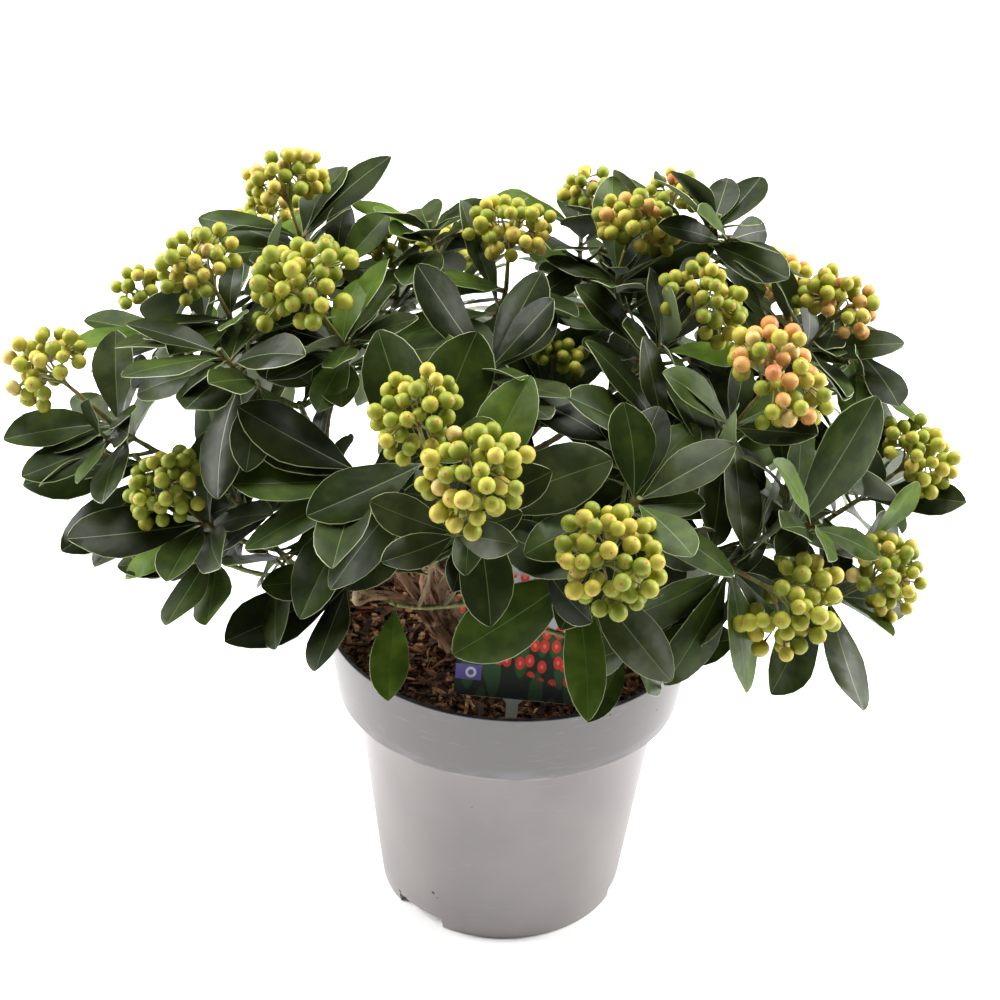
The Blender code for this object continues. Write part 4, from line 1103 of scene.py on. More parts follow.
# Listed leaves that are seen edge on are turned to the viewer. Three that hang are narrower.
EDGE_ON = 0.55
TURN_TO_VIEW = 0.8
NARROW_LEAVES = {("front_hem", 0): 0.8, ("front_hem", 1): 0.62, ("front_right", 1): 0.62}
TONED_LEAVES = {
    ("front_hem", 0): 6, ("front_hem", 1): 4, ("front_right", 1): 5, ("front_right", 3): 5,
    ("front_centre", 7): 5, ("right_low", 2): 5, ("upper_left", 1): 5, ("top_right", 0): 4,
}
# How far the tip of such a leaf may be moved where it can't stand
TIP_SHIFTS = ((0, 0, 0), (0, 0, 0.008), (0, 0, -0.008), (0.008, 0, 0), (-0.008, 0, 0), (0, -0.012, 0))
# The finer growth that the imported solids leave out
SMALL_LEAVES = {"wide_head": 5, "head": 5, "small_head": 4, "whorl": 4}
SMALL_LENGTH = (0.044, 0.070)
SIDE_LEAVES = 5
SIDE_LENGTH = (0.040, 0.062)
FINE_CLEARANCE = 0.0003
# How much shorter the topmost leaves of a whorl are
TOP_SHORTER = 0.22


class Leaf:
    """One leathery leaf: its root, its frame, its size and how far its tip bends back."""

    def __init__(self, root, axis, bearing, tilt, length, slenderness, droop):
        self.root = root
        self.along = round_axis(axis, bearing, tilt)
        self.face = (axis - self.along * axis.dot(self.along)).normalized()
        self.side = self.along.cross(self.face)
        self.length = length
        self.half_width = length * slenderness / 2
        self.droop = droop
        self.by_hand = False
        self.narrow = 1.0
        self.tone = None
        self.side_twig = None

    @classmethod
    def towards(cls, root, axis, tip, slenderness, droop):
        """The leaf that springs from root and ends at tip."""
        reach = tip - root
        level = (axis - reach.normalized() * axis.dot(reach.normalized())).normalized()
        aim = reach + level * droop * reach.length
        side = across(axis)
        bearing = math.atan2(aim.dot(axis.cross(side)), aim.dot(side))
        leaf = cls(root, axis, bearing, axis.angle(aim), aim.length, slenderness, droop)
        leaf.by_hand = True
        return leaf

    def at(self, share, aside=0.0, lift=0.0):
        """A point of the blade: share of its length, and metres to the side and off its face."""
        down = self.face * (-self.droop * self.length * share * share)
        return self.root + self.along * (self.length * share) + down + self.side * aside + self.face * lift

    def solid(self, grown=0.0):
        """A closed blade of twelve faces, pointed at root and tip and thickest near the middle."""
        left = [self.at(s, -self.half_width * w - grown) for s, w in LEAF_STATIONS]
        right = [self.at(s, self.half_width * w + grown) for s, w in LEAF_STATIONS]
        thick = LEAF_THICKNESS / 2 + grown
        points = [self.at(0.0), *right, self.at(1.0 + grown / self.length), *reversed(left)]
        points += [self.at(LEAF_MIDDLE, 0.0, thick), self.at(LEAF_MIDDLE, 0.0, -thick)]
        faces = []
        for k in range(6):
            faces.append((k, (k + 1) % 6, 6))
            faces.append(((k + 1) % 6, k, 7))
        return points, faces


def berry_ball(centre, axis, radius):
    """The lumpy ball that a head of berries fills."""
    shape = bmesh.new()
    bmesh.ops.create_icosphere(shape, subdivisions=2, radius=radius)
    turn = axis.to_track_quat("Z", "Y")
    points = []
    for vert in shape.verts:
        is_berry = len(vert.link_edges) == 5
        place = vert.co * (1.0 if is_berry else HOLLOW_SHARE)
        place.z *= HEAD_FLATNESS
        points.append(centre + turn @ place)
    faces = [tuple(v.index for v in f.verts) for f in shape.faces]
    shape.free()
    return points, faces


def hides_window(points):
    """Whether any of the points stands in front of a window."""
    for x_from, x_to, y_from, y_to in WINDOWS:
        for p in points:
            share = (p.z - MULCH_TOP) / WINDOW_REACH.z
            y = p.y - WINDOW_REACH.y * share
            if 0 < share < 1 and x_from < p.x < x_to and y_from < y < y_to:
                return True
    return False


def seen_at(point):
    """The pixel of the photograph at which a point is seen."""
    x, y, z = camera.matrix_world.inverted() @ point
    scale = FRAME_PIXELS * CAMERA_LENS / CAMERA_SENSOR / -z
    return FRAME_PIXELS / 2 + x * scale, FRAME_PIXELS / 2 - y * scale


def fills_opening(leaf):
    """Whether a leaf would be seen in one of the openings."""
    for share in (0.25, 0.45, 0.65, 0.85, 1.0):
        for aside in (-0.9, 0.0, 0.9):
            x, y = seen_at(leaf.at(share, aside * leaf.half_width * (share < 0.9)))
            if any(math.hypot(x - spot_x, y - spot_y) < radius for spot_x, spot_y, radius in OPENINGS):
                return True
    return False


def leaf_shape(chance, lengths, shorter=0.0):
    """The length, slenderness and droop of a leaf."""
    length = chance.uniform(*lengths) * (1.0 - shorter)
    return length, chance.uniform(*LEAF_SLENDERNESS), chance.uniform(*DROOP)


def front_leaf_slots(mass, stem, shoots, twigs):
    """Each listed leaf, as the versions in which it may stand: its root moves along its twig."""
    chance = random.Random(f"{SEED} front {mass}")
    slots = []
    for n, (index, *tip) in enumerate(FRONT_LEAVES.get(mass, [])):
        backs = [0.006 + 0.005 * ((n + k) % 5) for k in range(5)]
        roots = [point_back_from_tip(twigs[index].path, back) for back in backs]
        shape = (chance.uniform(*LEAF_SLENDERNESS), 0.5 * chance.uniform(*DROOP))
        tips = [Vector(tip) + Vector(shift) for shift in TIP_SHIFTS]
        slots.append([Leaf.towards(root, shoots[index].axis, end, *shape) for end in tips for root in roots])
        for leaf in slots[-1]:
            leaf.narrow = NARROW_LEAVES.get((mass, n), 1.0)
            leaf.tone = TONED_LEAVES.get((mass, n))
    return slots


def turned_leaves(root, axis, bearing, tilt, shape):
    """The versions in which a leaf of the rule may stand: turned round its twig, and raised or lowered."""
    return [
        Leaf(root, axis, bearing + math.radians(turn), tilt + math.radians(rise), *shape)
        for turn, rise in LEAF_TRIES
    ]


def leaf_slots(mass, stem, shoots, twigs):
    """Each leaf of the whorls, lowest first, then the old leaves of the mass's stem, as their versions."""
    chance = random.Random(f"{SEED} {mass}")
    slots = []
    for index, (shoot, twig) in enumerate(zip(shoots, twigs)):
        count = LEAVES[shoot.kind]
        phase = chance.uniform(0, math.tau)
        for j in range(count - sum(1 for leaf in FRONT_LEAVES.get(mass, []) if leaf[0] == index)):
            share = j / (count - 1)
            root = point_back_from_tip(twig.path, WHORL_LENGTH * (1 - share) + 0.004)
            tilt = LOWEST_TILT + (HIGHEST_TILT - LOWEST_TILT) * share + chance.uniform(-1, 1) * TILT_SPREAD
            shape = leaf_shape(chance, LEAF_LENGTH, TOP_SHORTER * share)
            slots.append(turned_leaves(root, shoot.axis, phase + j * GOLDEN_ANGLE, tilt, shape))
    phase = chance.uniform(0, math.tau)
    for j in range(OLD_LEAVES):
        root = point_back_from_tip(stem.path, 0.003 + 0.003 * j)
        tilt = math.radians(chance.uniform(75, 105))
        shape = leaf_shape(chance, LEAF_LENGTH)
        slots.append(turned_leaves(root, stem.end_direction(), phase + j * GOLDEN_ANGLE, tilt, shape))
    return slots


def fine_slots(mass, stem, shoots, twigs):
    """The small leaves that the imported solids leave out: more in each whorl, and one on each side twig."""
    chance = random.Random(f"{SEED} fine {mass}")
    slots = []
    for shoot, twig in zip(shoots, twigs):
        phase = chance.uniform(0, math.tau)
        count = SMALL_LEAVES[shoot.kind]
        for j in range(count):
            root = point_back_from_tip(twig.path, 0.003 + 0.010 * (1 - j / count))
            tilt = math.radians(chance.uniform(38, 78))
            shape = leaf_shape(chance, SMALL_LENGTH)
            slots.append(turned_leaves(root, shoot.axis, phase + j * GOLDEN_ANGLE, tilt, shape))
    for twig in sides[mass]:
        phase = chance.uniform(0, math.tau)
        for j in range(SIDE_LEAVES):
            share = j / (SIDE_LEAVES - 1)
            root = point_back_from_tip(twig.path, 0.010 * (1 - share) + 0.001)
            tilt = math.radians(95 - 60 * share + chance.uniform(-8, 8))
            shape = leaf_shape(chance, SIDE_LENGTH)
            slots.append(turned_leaves(root, twig.end_direction(), phase + j * GOLDEN_ANGLE, tilt, shape))
            for leaf in slots[-1]:
                leaf.side_twig = twig
    return slots


def bounded(solid):
    """The middle of a solid, its reach from there, and its faces ready to be searched."""
    points, faces = solid
    centre = sum(points, Vector()) / len(points)
    return centre, max((p - centre).length for p in points), BVHTree.FromPolygons(points, faces)


class Space:
    """Everything that a leaf must stay clear of, with the mass that each piece belongs to."""

    def __init__(self):
        self.pieces = []

    def add(self, solid, owner):
        self.pieces.append((*bounded(solid), owner))

    def is_free(self, solid, own_twigs):
        centre, reach, faces = bounded(solid)
        for other_centre, other_reach, other, owner in self.pieces:
            is_near = owner != own_twigs and (centre - other_centre).length < reach + other_reach
            if is_near and faces.overlap(other):
                return False
        return True


def place_leaves(space, leaves, slots_of, by_hand, clearance):
    """Gives each mass its leaves in turn. A leaf stands in the first of its versions that touches nothing, or
    is left out."""
    for turn in range(max(len(found) for found in slots_of.values())):
        for mass, found in slots_of.items():
            for leaf in found[turn] if turn < len(found) else []:
                blade = leaf.solid(grown=clearance)
                if not by_hand:
                    if any(p.z < HEM for p in blade[0]) or hides_window(blade[0]) or fills_opening(leaf):
                        continue
                if space.is_free(blade, mass + " twigs"):
                    space.add(leaf.solid(), mass + " leaves")
                    leaves[mass].append(leaf)
                    break


space = Space()
for name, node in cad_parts.items():
    if not name.startswith("foliage_"):
        corners = [v.co.copy() for v in node.data.vertices]
        space.add((corners, [tuple(f.vertices) for f in node.data.polygons]), name)
for mass, (stem, shoots, twigs) in plans.items():
    for twig in (stem, *twigs):
        space.add(twig.solid(), mass + " twigs")
    for shoot in shoots:
        if shoot.kind in HEADS:
            space.add(berry_ball(shoot.head_centre, shoot.axis, HEADS[shoot.kind][0]), mass + " head")
leaves = {mass: [] for mass in plans}
for slots_in, by_hand, clearance in (
    (front_leaf_slots, True, CLEARANCE), (leaf_slots, False, CLEARANCE), (fine_slots, False, FINE_CLEARANCE)
):
    slots_of = {mass: slots_in(mass, *plan) for mass, plan in plans.items()}
    place_leaves(space, leaves, slots_of, by_hand, clearance)

# Share of the length and half width there, as a share of the widest
BLADE = [
    (0.0, 0.060), (0.08, 0.070), (0.17, 0.26), (0.30, 0.59), (0.43, 0.84), (0.56, 0.98), (0.68, 0.99),
    (0.79, 0.88), (0.88, 0.67), (0.945, 0.41), (0.985, 0.18), (1.0, 0.0),
]
BLADE_THICKNESS = 0.0006
STALK_THICKNESS = 0.0022
# How far the midrib is sunk and the margin turned down
SINK = 0.0003
BLADE_CREASE = math.radians(50.0)
WAVE_HEIGHT = 0.07
WAVES_ALONG = 11.0
# The limits between which each leaf's fold, arch, bend, twist and phase of its waves are drawn
LEAF_LOOKS = {
    "fold": (0.10, 0.48), "arch": (0.08, 0.34), "bend": (-0.16, 0.16), "twist": (-0.5, 0.5),
    "phase": (0, math.tau),
}
MARGIN = 0.021
RIB = 0.024
TOP, EDGE, MIDRIB, UNDERSIDE, STALK = range(5)
LEAF_TONES = [
    (paint(22, 30, 8), paint(34, 42, 13), 0.22),
    (paint(28, 38, 10), paint(42, 53, 17), 0.24),
    (paint(34, 46, 13), paint(51, 64, 21), 0.22),
    (paint(37, 45, 21), paint(55, 63, 33), 0.12),
    (paint(45, 60, 16), paint(64, 81, 26), 0.13),
    (paint(57, 75, 20), paint(76, 95, 32), 0.05),
    (paint(76, 100, 28), paint(98, 122, 42), 0.02),
]


def blade_mesh():
    """The flat pattern of a leaf. X is the share of its length, Y that of its half width, and Z is metres."""
    shape = bmesh.new()
    part = shape.faces.layers.float.new("part")
    top_rows, low_rows = [], []
    for share, width in BLADE:
        depth = -(STALK_THICKNESS if share < 0.15 else BLADE_THICKNESS * (2.6 - 1.8 * share))
        rib = min(RIB * (1.15 - 0.8 * share), width * 0.5)
        inner = max(width - MARGIN, width * 0.62)
        sink = -SINK if 0.1 < share < 0.95 else 0.0
        row = [(-width, -SINK), (-inner, 0.0), (-rib, sink), (rib, sink), (inner, 0.0), (width, -SINK)]
        top_rows.append([shape.verts.new((share, y, z)) for y, z in row])
        low_rows.append([top_rows[-1][0], shape.verts.new((share, 0.0, depth)), top_rows[-1][-1]])
    for i in range(len(BLADE) - 1):
        here, there = top_rows[i], top_rows[i + 1]
        for k, top_part in enumerate((EDGE, TOP, MIDRIB, TOP, EDGE)):
            shape.faces.new((here[k], there[k], there[k + 1], here[k + 1]))[part] = top_part if i else STALK
        here, there = low_rows[i], low_rows[i + 1]
        for k in range(2):
            shape.faces.new((here[k], here[k + 1], there[k + 1], there[k]))[part] = UNDERSIDE if i else STALK
    shape.faces.new([*low_rows[0], *reversed(top_rows[0][1:-1])])[part] = STALK
    tip = top_rows[-1] + low_rows[-1][1:-1]
    bmesh.ops.pointmerge(shape, verts=tip, merge_co=Vector((BLADE[-1][0], 0.0, -SINK)))
    bmesh.ops.recalc_face_normals(shape, faces=shape.faces)
    if next(f for f in shape.faces if f[part] == TOP).normal.z < 0:
        bmesh.ops.reverse_faces(shape, faces=shape.faces)
    return finished(shape, "blade")


def facts_of(things, *labels):
    """What each thing says of itself, as one list for each label."""
    return {label: [getattr(thing, label) for thing in things] for label in labels}


def seedbed(name, roots, facts):
    """A mesh of loose points, with a named attribute for each fact about what grows there."""
    mesh = solid_mesh(name, roots, [])
    for label, values in facts.items():
        if isinstance(values[0], Vector):
            layer = mesh.attributes.new(label, "FLOAT_VECTOR", "POINT")
            layer.data.foreach_set("vector", [c for value in values for c in value])
        else:
            layer = mesh.attributes.new(label, "FLOAT", "POINT")
            layer.data.foreach_set("value", [float(value) for value in values])
    return mesh


def fact(tree, label, kind="FLOAT"):
    """The wire of a named attribute."""
    return add_node(tree, "GeometryNodeInputNamedAttribute", {"Name": label}, data_type=kind)


def is_number(wire, number):
    """1 where a wire holds a whole number."""
    return abs(wire - number) < 0.5


def without_facts(mesh, facts):
    for label in (*facts, "part"):
        if label in mesh.attributes:
            mesh.attributes.remove(mesh.attributes[label])


leaf_tops = []
for n, (dark, light, share) in enumerate(LEAF_TONES):
    top = Finish(f"leaf green {n + 1}", Specular_IOR_Level=0.13)
    patches = top.mottle(55.0, 3.0)
    top.lead("Base Color", top.blend(top.ease(patches, 0.36, 0.66), dark, light))
    top.lead("Roughness", 0.33 + top.mottle(160.0, 2.0) * 0.16)
    top.relief(top.mottle(65.0, 2.0), 0.0009)
    leaf_tops.append(top)
leaf_parts = {
    EDGE: two_tone("leaf cream margin", 90.0, paint(118, 130, 86), paint(160, 168, 122), Roughness=0.5),
    MIDRIB: two_tone("leaf pale midrib", 70.0, paint(62, 84, 38), paint(86, 108, 52), Roughness=0.45),
    UNDERSIDE: two_tone(
        "leaf dull underside", 60.0, paint(84, 98, 60), paint(108, 120, 80), Roughness=0.6,
        Specular_IOR_Level=0.3,
    ),
    STALK: two_tone("leaf stalk", 80.0, paint(112, 66, 44), paint(124, 118, 62), Roughness=0.5),
}

spread, spread_in = new_growth("Leaves on their twigs", {
    "Blade": "NodeSocketObject", "Wave": "NodeSocketFloat", "Waves along": "NodeSocketFloat",
})
blades = planted(spread_in["Geometry"], spread_in["Blade"])
leaf_root = fact(spread, "root", "FLOAT_VECTOR")
leaf_along = fact(spread, "along", "FLOAT_VECTOR")
leaf_face = fact(spread, "face", "FLOAT_VECTOR")
leaf_side = leaf_face.sum_of("CROSS_PRODUCT", leaf_face, leaf_along)
share, aside, lift = parts_of(add_node(spread, "GeometryNodeInputPosition") - leaf_root)
length = fact(spread, "length")
half_width = fact(spread, "half_width")
outward = abs(aside)
ripple = share.sum_of("SINE", share * spread_in["Waves along"] + fact(spread, "phase"))
raise_by = (
    lift
    - fact(spread, "droop") * length * share * share
    + outward * half_width * fact(spread, "fold")
    - outward * outward * half_width * fact(spread, "arch")
    + outward * half_width * ripple * spread_in["Wave"]
    + aside * half_width * share * fact(spread, "twist")
)
sideways = aside * half_width + length * share * (1 - share) * fact(spread, "bend")
leaf_place = leaf_root + leaf_along * (length * share) + leaf_side * sideways + leaf_face * raise_by
blades = add_node(spread, "GeometryNodeSetPosition", {"Geometry": blades, "Position": leaf_place})
leaf_part = fact(spread, "part")
leaf_tone = fact(spread, "tone")
for part, finish in leaf_parts.items():
    blades = painted(blades, finish.material, Selection=is_number(leaf_part, part))
for n, finish in enumerate(leaf_tops):
    blades = painted(blades, finish.material, Selection=is_number(leaf_tone, n) * is_number(leaf_part, TOP))
end_growth(spread, blades)

chance = random.Random(f"{SEED} leaf looks")
placed_leaves = [leaf for found in leaves.values() for leaf in found]
side_twig_counts = [leaf.side_twig for leaf in placed_leaves]
leafy_twigs = [twig for found in sides.values() for twig in found if side_twig_counts.count(twig) > 1]
all_leaves = [leaf for leaf in placed_leaves if not leaf.side_twig or leaf.side_twig in leafy_twigs]
for leaf in all_leaves:
    if leaf.by_hand:
        view = (CAMERA_PLACE - leaf.at(0.5)).normalized()
        if abs(leaf.face.dot(view)) < EDGE_ON:
            facing = leaf.face + view * TURN_TO_VIEW
            leaf.face = (facing - leaf.along * facing.dot(leaf.along)).normalized()
tone_shares = [share for _, _, share in LEAF_TONES]


def tone_of(leaf):
    """The tone of a leaf: any of them, but a dark one where it is a large leaf."""
    if leaf.tone is not None:
        return leaf.tone
    kept = len(LEAF_TONES) - (2 if leaf.length > SMALL_LENGTH[1] else 0)
    return chance.choices(range(kept), tone_shares[:kept])[0]


leaf_facts = facts_of(all_leaves, "root", "along", "face", "length", "droop")
leaf_facts["half_width"] = [leaf.half_width * leaf.narrow for leaf in all_leaves]
for label, limits in LEAF_LOOKS.items():
    leaf_facts[label] = [chance.uniform(*limits) for _ in all_leaves]
leaf_facts["tone"] = [tone_of(leaf) for leaf in all_leaves]
blade = add_object("blade", blade_mesh())
leaves_mesh = grown(spread, seedbed("leaves", leaf_facts["root"], leaf_facts), {
    "Blade": blade, "Wave": WAVE_HEIGHT, "Waves along": WAVES_ALONG,
})
bpy.data.objects.remove(blade)
without_facts(leaves_mesh, leaf_facts)
leaves_mesh.shade_smooth()
leaves_mesh.set_sharp_from_angle(angle=BLADE_CREASE)
leaves_piece = add_object("leaves", leaves_mesh)
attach(leaves_piece, "root")
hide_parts(*("foliage_" + mass for mass in plans))

twig_solids = []
for mass, (stem, shoots, twigs) in plans.items():
    twig_solids.append(scarred(stem, TWIG_SIDES, mass + " stem", sunk=0.002, beyond=0.003))
    for n, twig in enumerate(twigs):
        twig_solids.append(scarred(twig, TWIG_SIDES, f"{mass} twig {n}"))
    for n, twig in enumerate(sides[mass]):
        if twig in leafy_twigs:
            twig_solids.append(scarred(twig, SIDE_TWIG_SIDES, f"{mass} side {n}"))
twig_piece = add_object("twigs", limb_mesh("twigs", twig_solids, knuckles, TWIG_YOUTH), green_skin)
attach(twig_piece, "root")


# Heads of berries: a stiff branched stalk rises from the middle of each whorl, and every branch ends in a
# few berries on short stalks. The stalks are tan and olive green in patches.
BERRY_RADIUS = {"wide_head": (0.0050, 0.0062), "head": (0.0045, 0.0056), "small_head": (0.0042, 0.0052)}
BERRY_COUNT = {"wide_head": 54, "head": 44, "small_head": 20}
BRANCHES = {"wide_head": 9, "head": 8, "small_head": 4}
BERRY_TRIES = 1600
BERRY_REACH = 1.13
PRESS = 0.94
CLUSTER_SPREAD = 0.32
# Where a head's stalk ends below its middle, where its branches end, and how long they may be, in shares of
# reach
STALK_END = 0.62
BRANCH_ENDS = (0.34, 0.52)
BRANCH_SPANS = (0.80, 1.10)
GREEN, YELLOWGREEN, YELLOW, CREAM, PEACH, ORANGE, RED = range(7)
UNRIPE = {GREEN: 34, YELLOWGREEN: 44, YELLOW: 20, CREAM: 2}
TURNING = {GREEN: 26, YELLOWGREEN: 36, YELLOW: 20, PEACH: 8, ORANGE: 4, RED: 6}
BLUSHED = {GREEN: 12, YELLOWGREEN: 34, YELLOW: 20, CREAM: 4, PEACH: 24, ORANGE: 4, RED: 2}
PALE = {GREEN: 16, YELLOWGREEN: 42, YELLOW: 34, CREAM: 8}
# Painted shade: greener, darker mixes for heads that sit in the crown's shade. The half-shaded one keeps a
# few red berries.
SHADED = {GREEN: 62, YELLOWGREEN: 38}
HALF_SHADED = {GREEN: 60, YELLOWGREEN: 34, RED: 6}
# The heads that differ from the rest. Most differ in how ripe they are; those with a shaded mix get greener,
# darker berries as painted shade.
RIPENESS_AND_SHADE = {
    ("top_back", 0): TURNING, ("top_back", 1): TURNING, ("top_right", 0): TURNING, ("heart", 0): HALF_SHADED,
    ("right_high", 0): BLUSHED, ("right_front", 0): BLUSHED, ("back_right", 0): TURNING,
    ("top_left", 1): SHADED, ("left_low", 0): SHADED, ("right_back", 0): BLUSHED,
    ("top_left", 0): PALE, ("top_centre", 0): PALE, ("far_left", 0): PALE,
}


class Berry:
    """One berry: its middle, its radius, the way its tip points, and its tone."""

    def __init__(self, place, radius, anchor, tone):
        self.place = place
        self.radius = radius
        self.anchor = anchor
        self.axis = (place - anchor).normalized()
        self.tone = tone


def head_of_berries(mass, index, shoot):
    """The berries of one head, and the solids of its stalks."""
    chance = random.Random(f"{SEED} berries {mass} {index}")
    reach = HEADS[shoot.kind][0]
    turn = shoot.axis.to_track_quat("Z", "Y")
    tones = RIPENESS_AND_SHADE.get((mass, index), UNRIPE)
    base = shoot.head_centre - shoot.axis * reach * STALK_END
    anchors, aims, spans = [], [], []
    for k in range(BRANCHES[shoot.kind]):
        height = 0.95 - 1.15 * (k + 0.5) / BRANCHES[shoot.kind]
        round_it = math.sqrt(1 - height * height)
        bearing = k * GOLDEN_ANGLE + chance.uniform(-0.3, 0.3)
        aim = Vector((math.cos(bearing) * round_it, math.sin(bearing) * round_it, height))
        aims.append(aim)
        spans.append(chance.uniform(*BRANCH_SPANS))
        anchors.append(shoot.head_centre + turn @ (aim * reach * chance.uniform(*BRANCH_ENDS)))
    places = []
    loose = far_place(chance)
    for _ in range(BERRY_TRIES):
        radius = chance.uniform(*BERRY_RADIUS[shoot.kind])
        branch = chance.randrange(len(aims))
        stray = Vector([chance.gauss(0, 1) for _ in range(3)]) * CLUSTER_SPREAD
        aim = (aims[branch] + stray).normalized()
        if aim.z < -0.70 or noise.noise(loose + aim * 1.6) < -0.34:
            continue
        out = (reach * BERRY_REACH * spans[branch] - radius) * (0.50 + 0.50 * math.sqrt(chance.random()))
        place = shoot.head_centre + turn @ Vector((aim.x * out, aim.y * out, aim.z * out * HEAD_FLATNESS))
        if all((place - other).length > (radius + r) * PRESS for other, r in places):
            places.append((place, radius))
        if len(places) == BERRY_COUNT[shoot.kind]:
            break
    berries = []
    for place, radius in places:
        anchor = min(anchors, key=lambda a: (a - place).length)
        tone = chance.choices(list(tones), list(tones.values()))[0]
        berries.append(Berry(place, radius, anchor, tone))
    solids = [tube(bezier(shoot.node - shoot.axis * 0.004, base, base, 4), tapered(0.0017, 0.0014, 4), 7)]
    for anchor in anchors:
        if any(berry.anchor is anchor for berry in berries):
            knee = base + shoot.axis * (anchor - base).length * 0.5
            solids.append(tube(bezier(base, knee, anchor, 5), tapered(0.0012, 0.0008, 5), 5))
    for berry in berries:
        end = berry.place - berry.axis * berry.radius * 0.9
        knee = (berry.anchor + end) / 2 + shoot.axis * 0.001
        start = berry.anchor - berry.axis * 0.0006
        solids.append(tube(bezier(start, knee, end, 4), (0.0006, 0.00055, 0.0006, 0.0010), 5))
    return berries, solids


stalk_skin = Finish("berry stalk skin", Roughness=0.55)
stalk_patches = stalk_skin.ease(stalk_skin.mottle(140.0), 0.38, 0.62)
stalk_skin.lead("Base Color", stalk_skin.blend(stalk_patches, paint(128, 108, 58), paint(124, 130, 66)))
stalk_skin.relief(stalk_skin.mottle(900.0, 2.0), 0.0002)

all_berries, stalk_solids = [], []
for mass, (stem, shoots, twigs) in plans.items():
    for index, shoot in enumerate(shoots):
        if shoot.kind in HEADS:
            found, solids = head_of_berries(mass, index, shoot)
            all_berries += found
            stalk_solids += solids
stalks_mesh = gathered("berry_stalks", stalk_solids)
stalks_mesh.shade_smooth()
stalks = add_object("berry_stalks", stalks_mesh, stalk_skin)
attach(stalks, "root")


# Berries: round, waxy drupes of eleven millimetres, still green to yellow in autumn. A few have blushed
# peach or turned red early, and each keeps the small brown scar of its flower at its tip.
BERRY_SIDES = 12
# Angle from the tip of each ring of the berry's skin, in degrees. The first bounds the scar, the second the
# blush round it.
BERRY_RINGS = (7.0, 25.0, 50.0, 78.0, 106.0, 132.0, 158.0)
BERRY_TIP_FLATNESS = 0.97
SKIN, SCAR, TIP_BLUSH = range(3)
BERRY_TONES = {
    GREEN: (paint(114, 124, 30), paint(130, 137, 38)),
    YELLOWGREEN: (paint(134, 137, 36), paint(152, 151, 48)),
    YELLOW: (paint(155, 145, 46), paint(174, 160, 66)),
    CREAM: (paint(178, 155, 84), paint(196, 172, 110)),
    PEACH: (paint(180, 124, 68), paint(190, 150, 80)),
    ORANGE: (paint(170, 86, 48), paint(180, 122, 62)),
    RED: (paint(150, 42, 26), paint(172, 64, 38)),
}
# The blush round the scar, and how much of it shows
TIP_PAINT = paint(176, 126, 56)
TIP_SHARE = 0.38


def berry_mesh():
    """A berry of unit radius whose tip points up."""
    shape = bmesh.new()
    part = shape.faces.layers.float.new("part")
    tip = shape.verts.new((0, 0, 0.985))
    foot = shape.verts.new((0, 0, -0.97))
    rings = []
    for degrees in BERRY_RINGS:
        angle = math.radians(degrees)
        out, up = math.sin(angle), math.cos(angle) * (BERRY_TIP_FLATNESS if degrees < 90 else 1.0)
        bearings = [math.tau * k / BERRY_SIDES for k in range(BERRY_SIDES)]
        rings.append([shape.verts.new((out * math.cos(a), out * math.sin(a), up)) for a in bearings])
    for k in range(BERRY_SIDES):
        n = (k + 1) % BERRY_SIDES
        shape.faces.new((tip, rings[0][k], rings[0][n]))[part] = SCAR
        shape.faces.new((foot, rings[-1][n], rings[-1][k]))
        for upper, lower in zip(rings, rings[1:]):
            band = shape.faces.new((upper[k], lower[k], lower[n], upper[n]))
            band[part] = TIP_BLUSH if upper is rings[0] else SKIN
    return finished(shape, "berry")


def between(first, second, share):
    """The colour that lies this share of the way from the first to the second."""
    return tuple(a * (1 - share) + b * share for a, b in zip(first, second))


skins, tips = {}, {}
for tone, (dark, light) in BERRY_TONES.items():
    skin = Finish(
        f"berry skin {tone + 1}", Specular_IOR_Level=0.26, Subsurface_Weight=0.18, Subsurface_Scale=0.002,
        Subsurface_Radius=(1.0, 0.8, 0.3),
    )
    blush = skin.ease(skin.mottle(95.0, 2.0), 0.38, 0.64)
    freckles = skin.ease(skin.mottle(1300.0, 2.0), 0.62, 0.72)
    flesh = skin.blend(blush, dark, light)
    skin.lead("Base Color", skin.blend(freckles * 0.25, flesh, paint(112, 104, 48)))
    skin.lead("Roughness", 0.42 + blush * 0.12)
    skins[tone] = skin
    tips[tone] = two_tone(
        f"berry tip {tone + 1}", 400.0, between(dark, TIP_PAINT, TIP_SHARE),
        between(light, TIP_PAINT, TIP_SHARE), Specular_IOR_Level=0.3, Roughness=0.5,
    )
scar = two_tone("berry scar", 600.0, paint(112, 76, 38), paint(146, 102, 52), Roughness=0.8)

fruit, fruit_in = new_growth("Berries on their stalks", {"Berry": "NodeSocketObject"})
turn_to = add_node(
    fruit, "FunctionNodeAlignRotationToVector", {"Vector": fact(fruit, "axis", "FLOAT_VECTOR")}, axis="Z"
)
drupes = planted(fruit_in["Geometry"], fruit_in["Berry"], Rotation=turn_to, Scale=fact(fruit, "radius"))
berry_part = fact(fruit, "part")
berry_tone = fact(fruit, "tone")
drupes = painted(drupes, scar.material, Selection=is_number(berry_part, SCAR))
for part, finishes in ((SKIN, skins), (TIP_BLUSH, tips)):
    for tone, finish in finishes.items():
        chosen = is_number(berry_tone, tone) * is_number(berry_part, part)
        drupes = painted(drupes, finish.material, Selection=chosen)
end_growth(fruit, drupes)

berry_facts = facts_of(all_berries, "axis", "radius", "tone")
one_berry = add_object("one_berry", berry_mesh())
berry_bed = seedbed("berries", [berry.place for berry in all_berries], berry_facts)
berries_mesh = grown(fruit, berry_bed, {"Berry": one_berry})
bpy.data.objects.remove(one_berry)
without_facts(berries_mesh, berry_facts)
berries_mesh.shade_smooth()
berries = add_object("berries", berries_mesh)
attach(berries, "root")


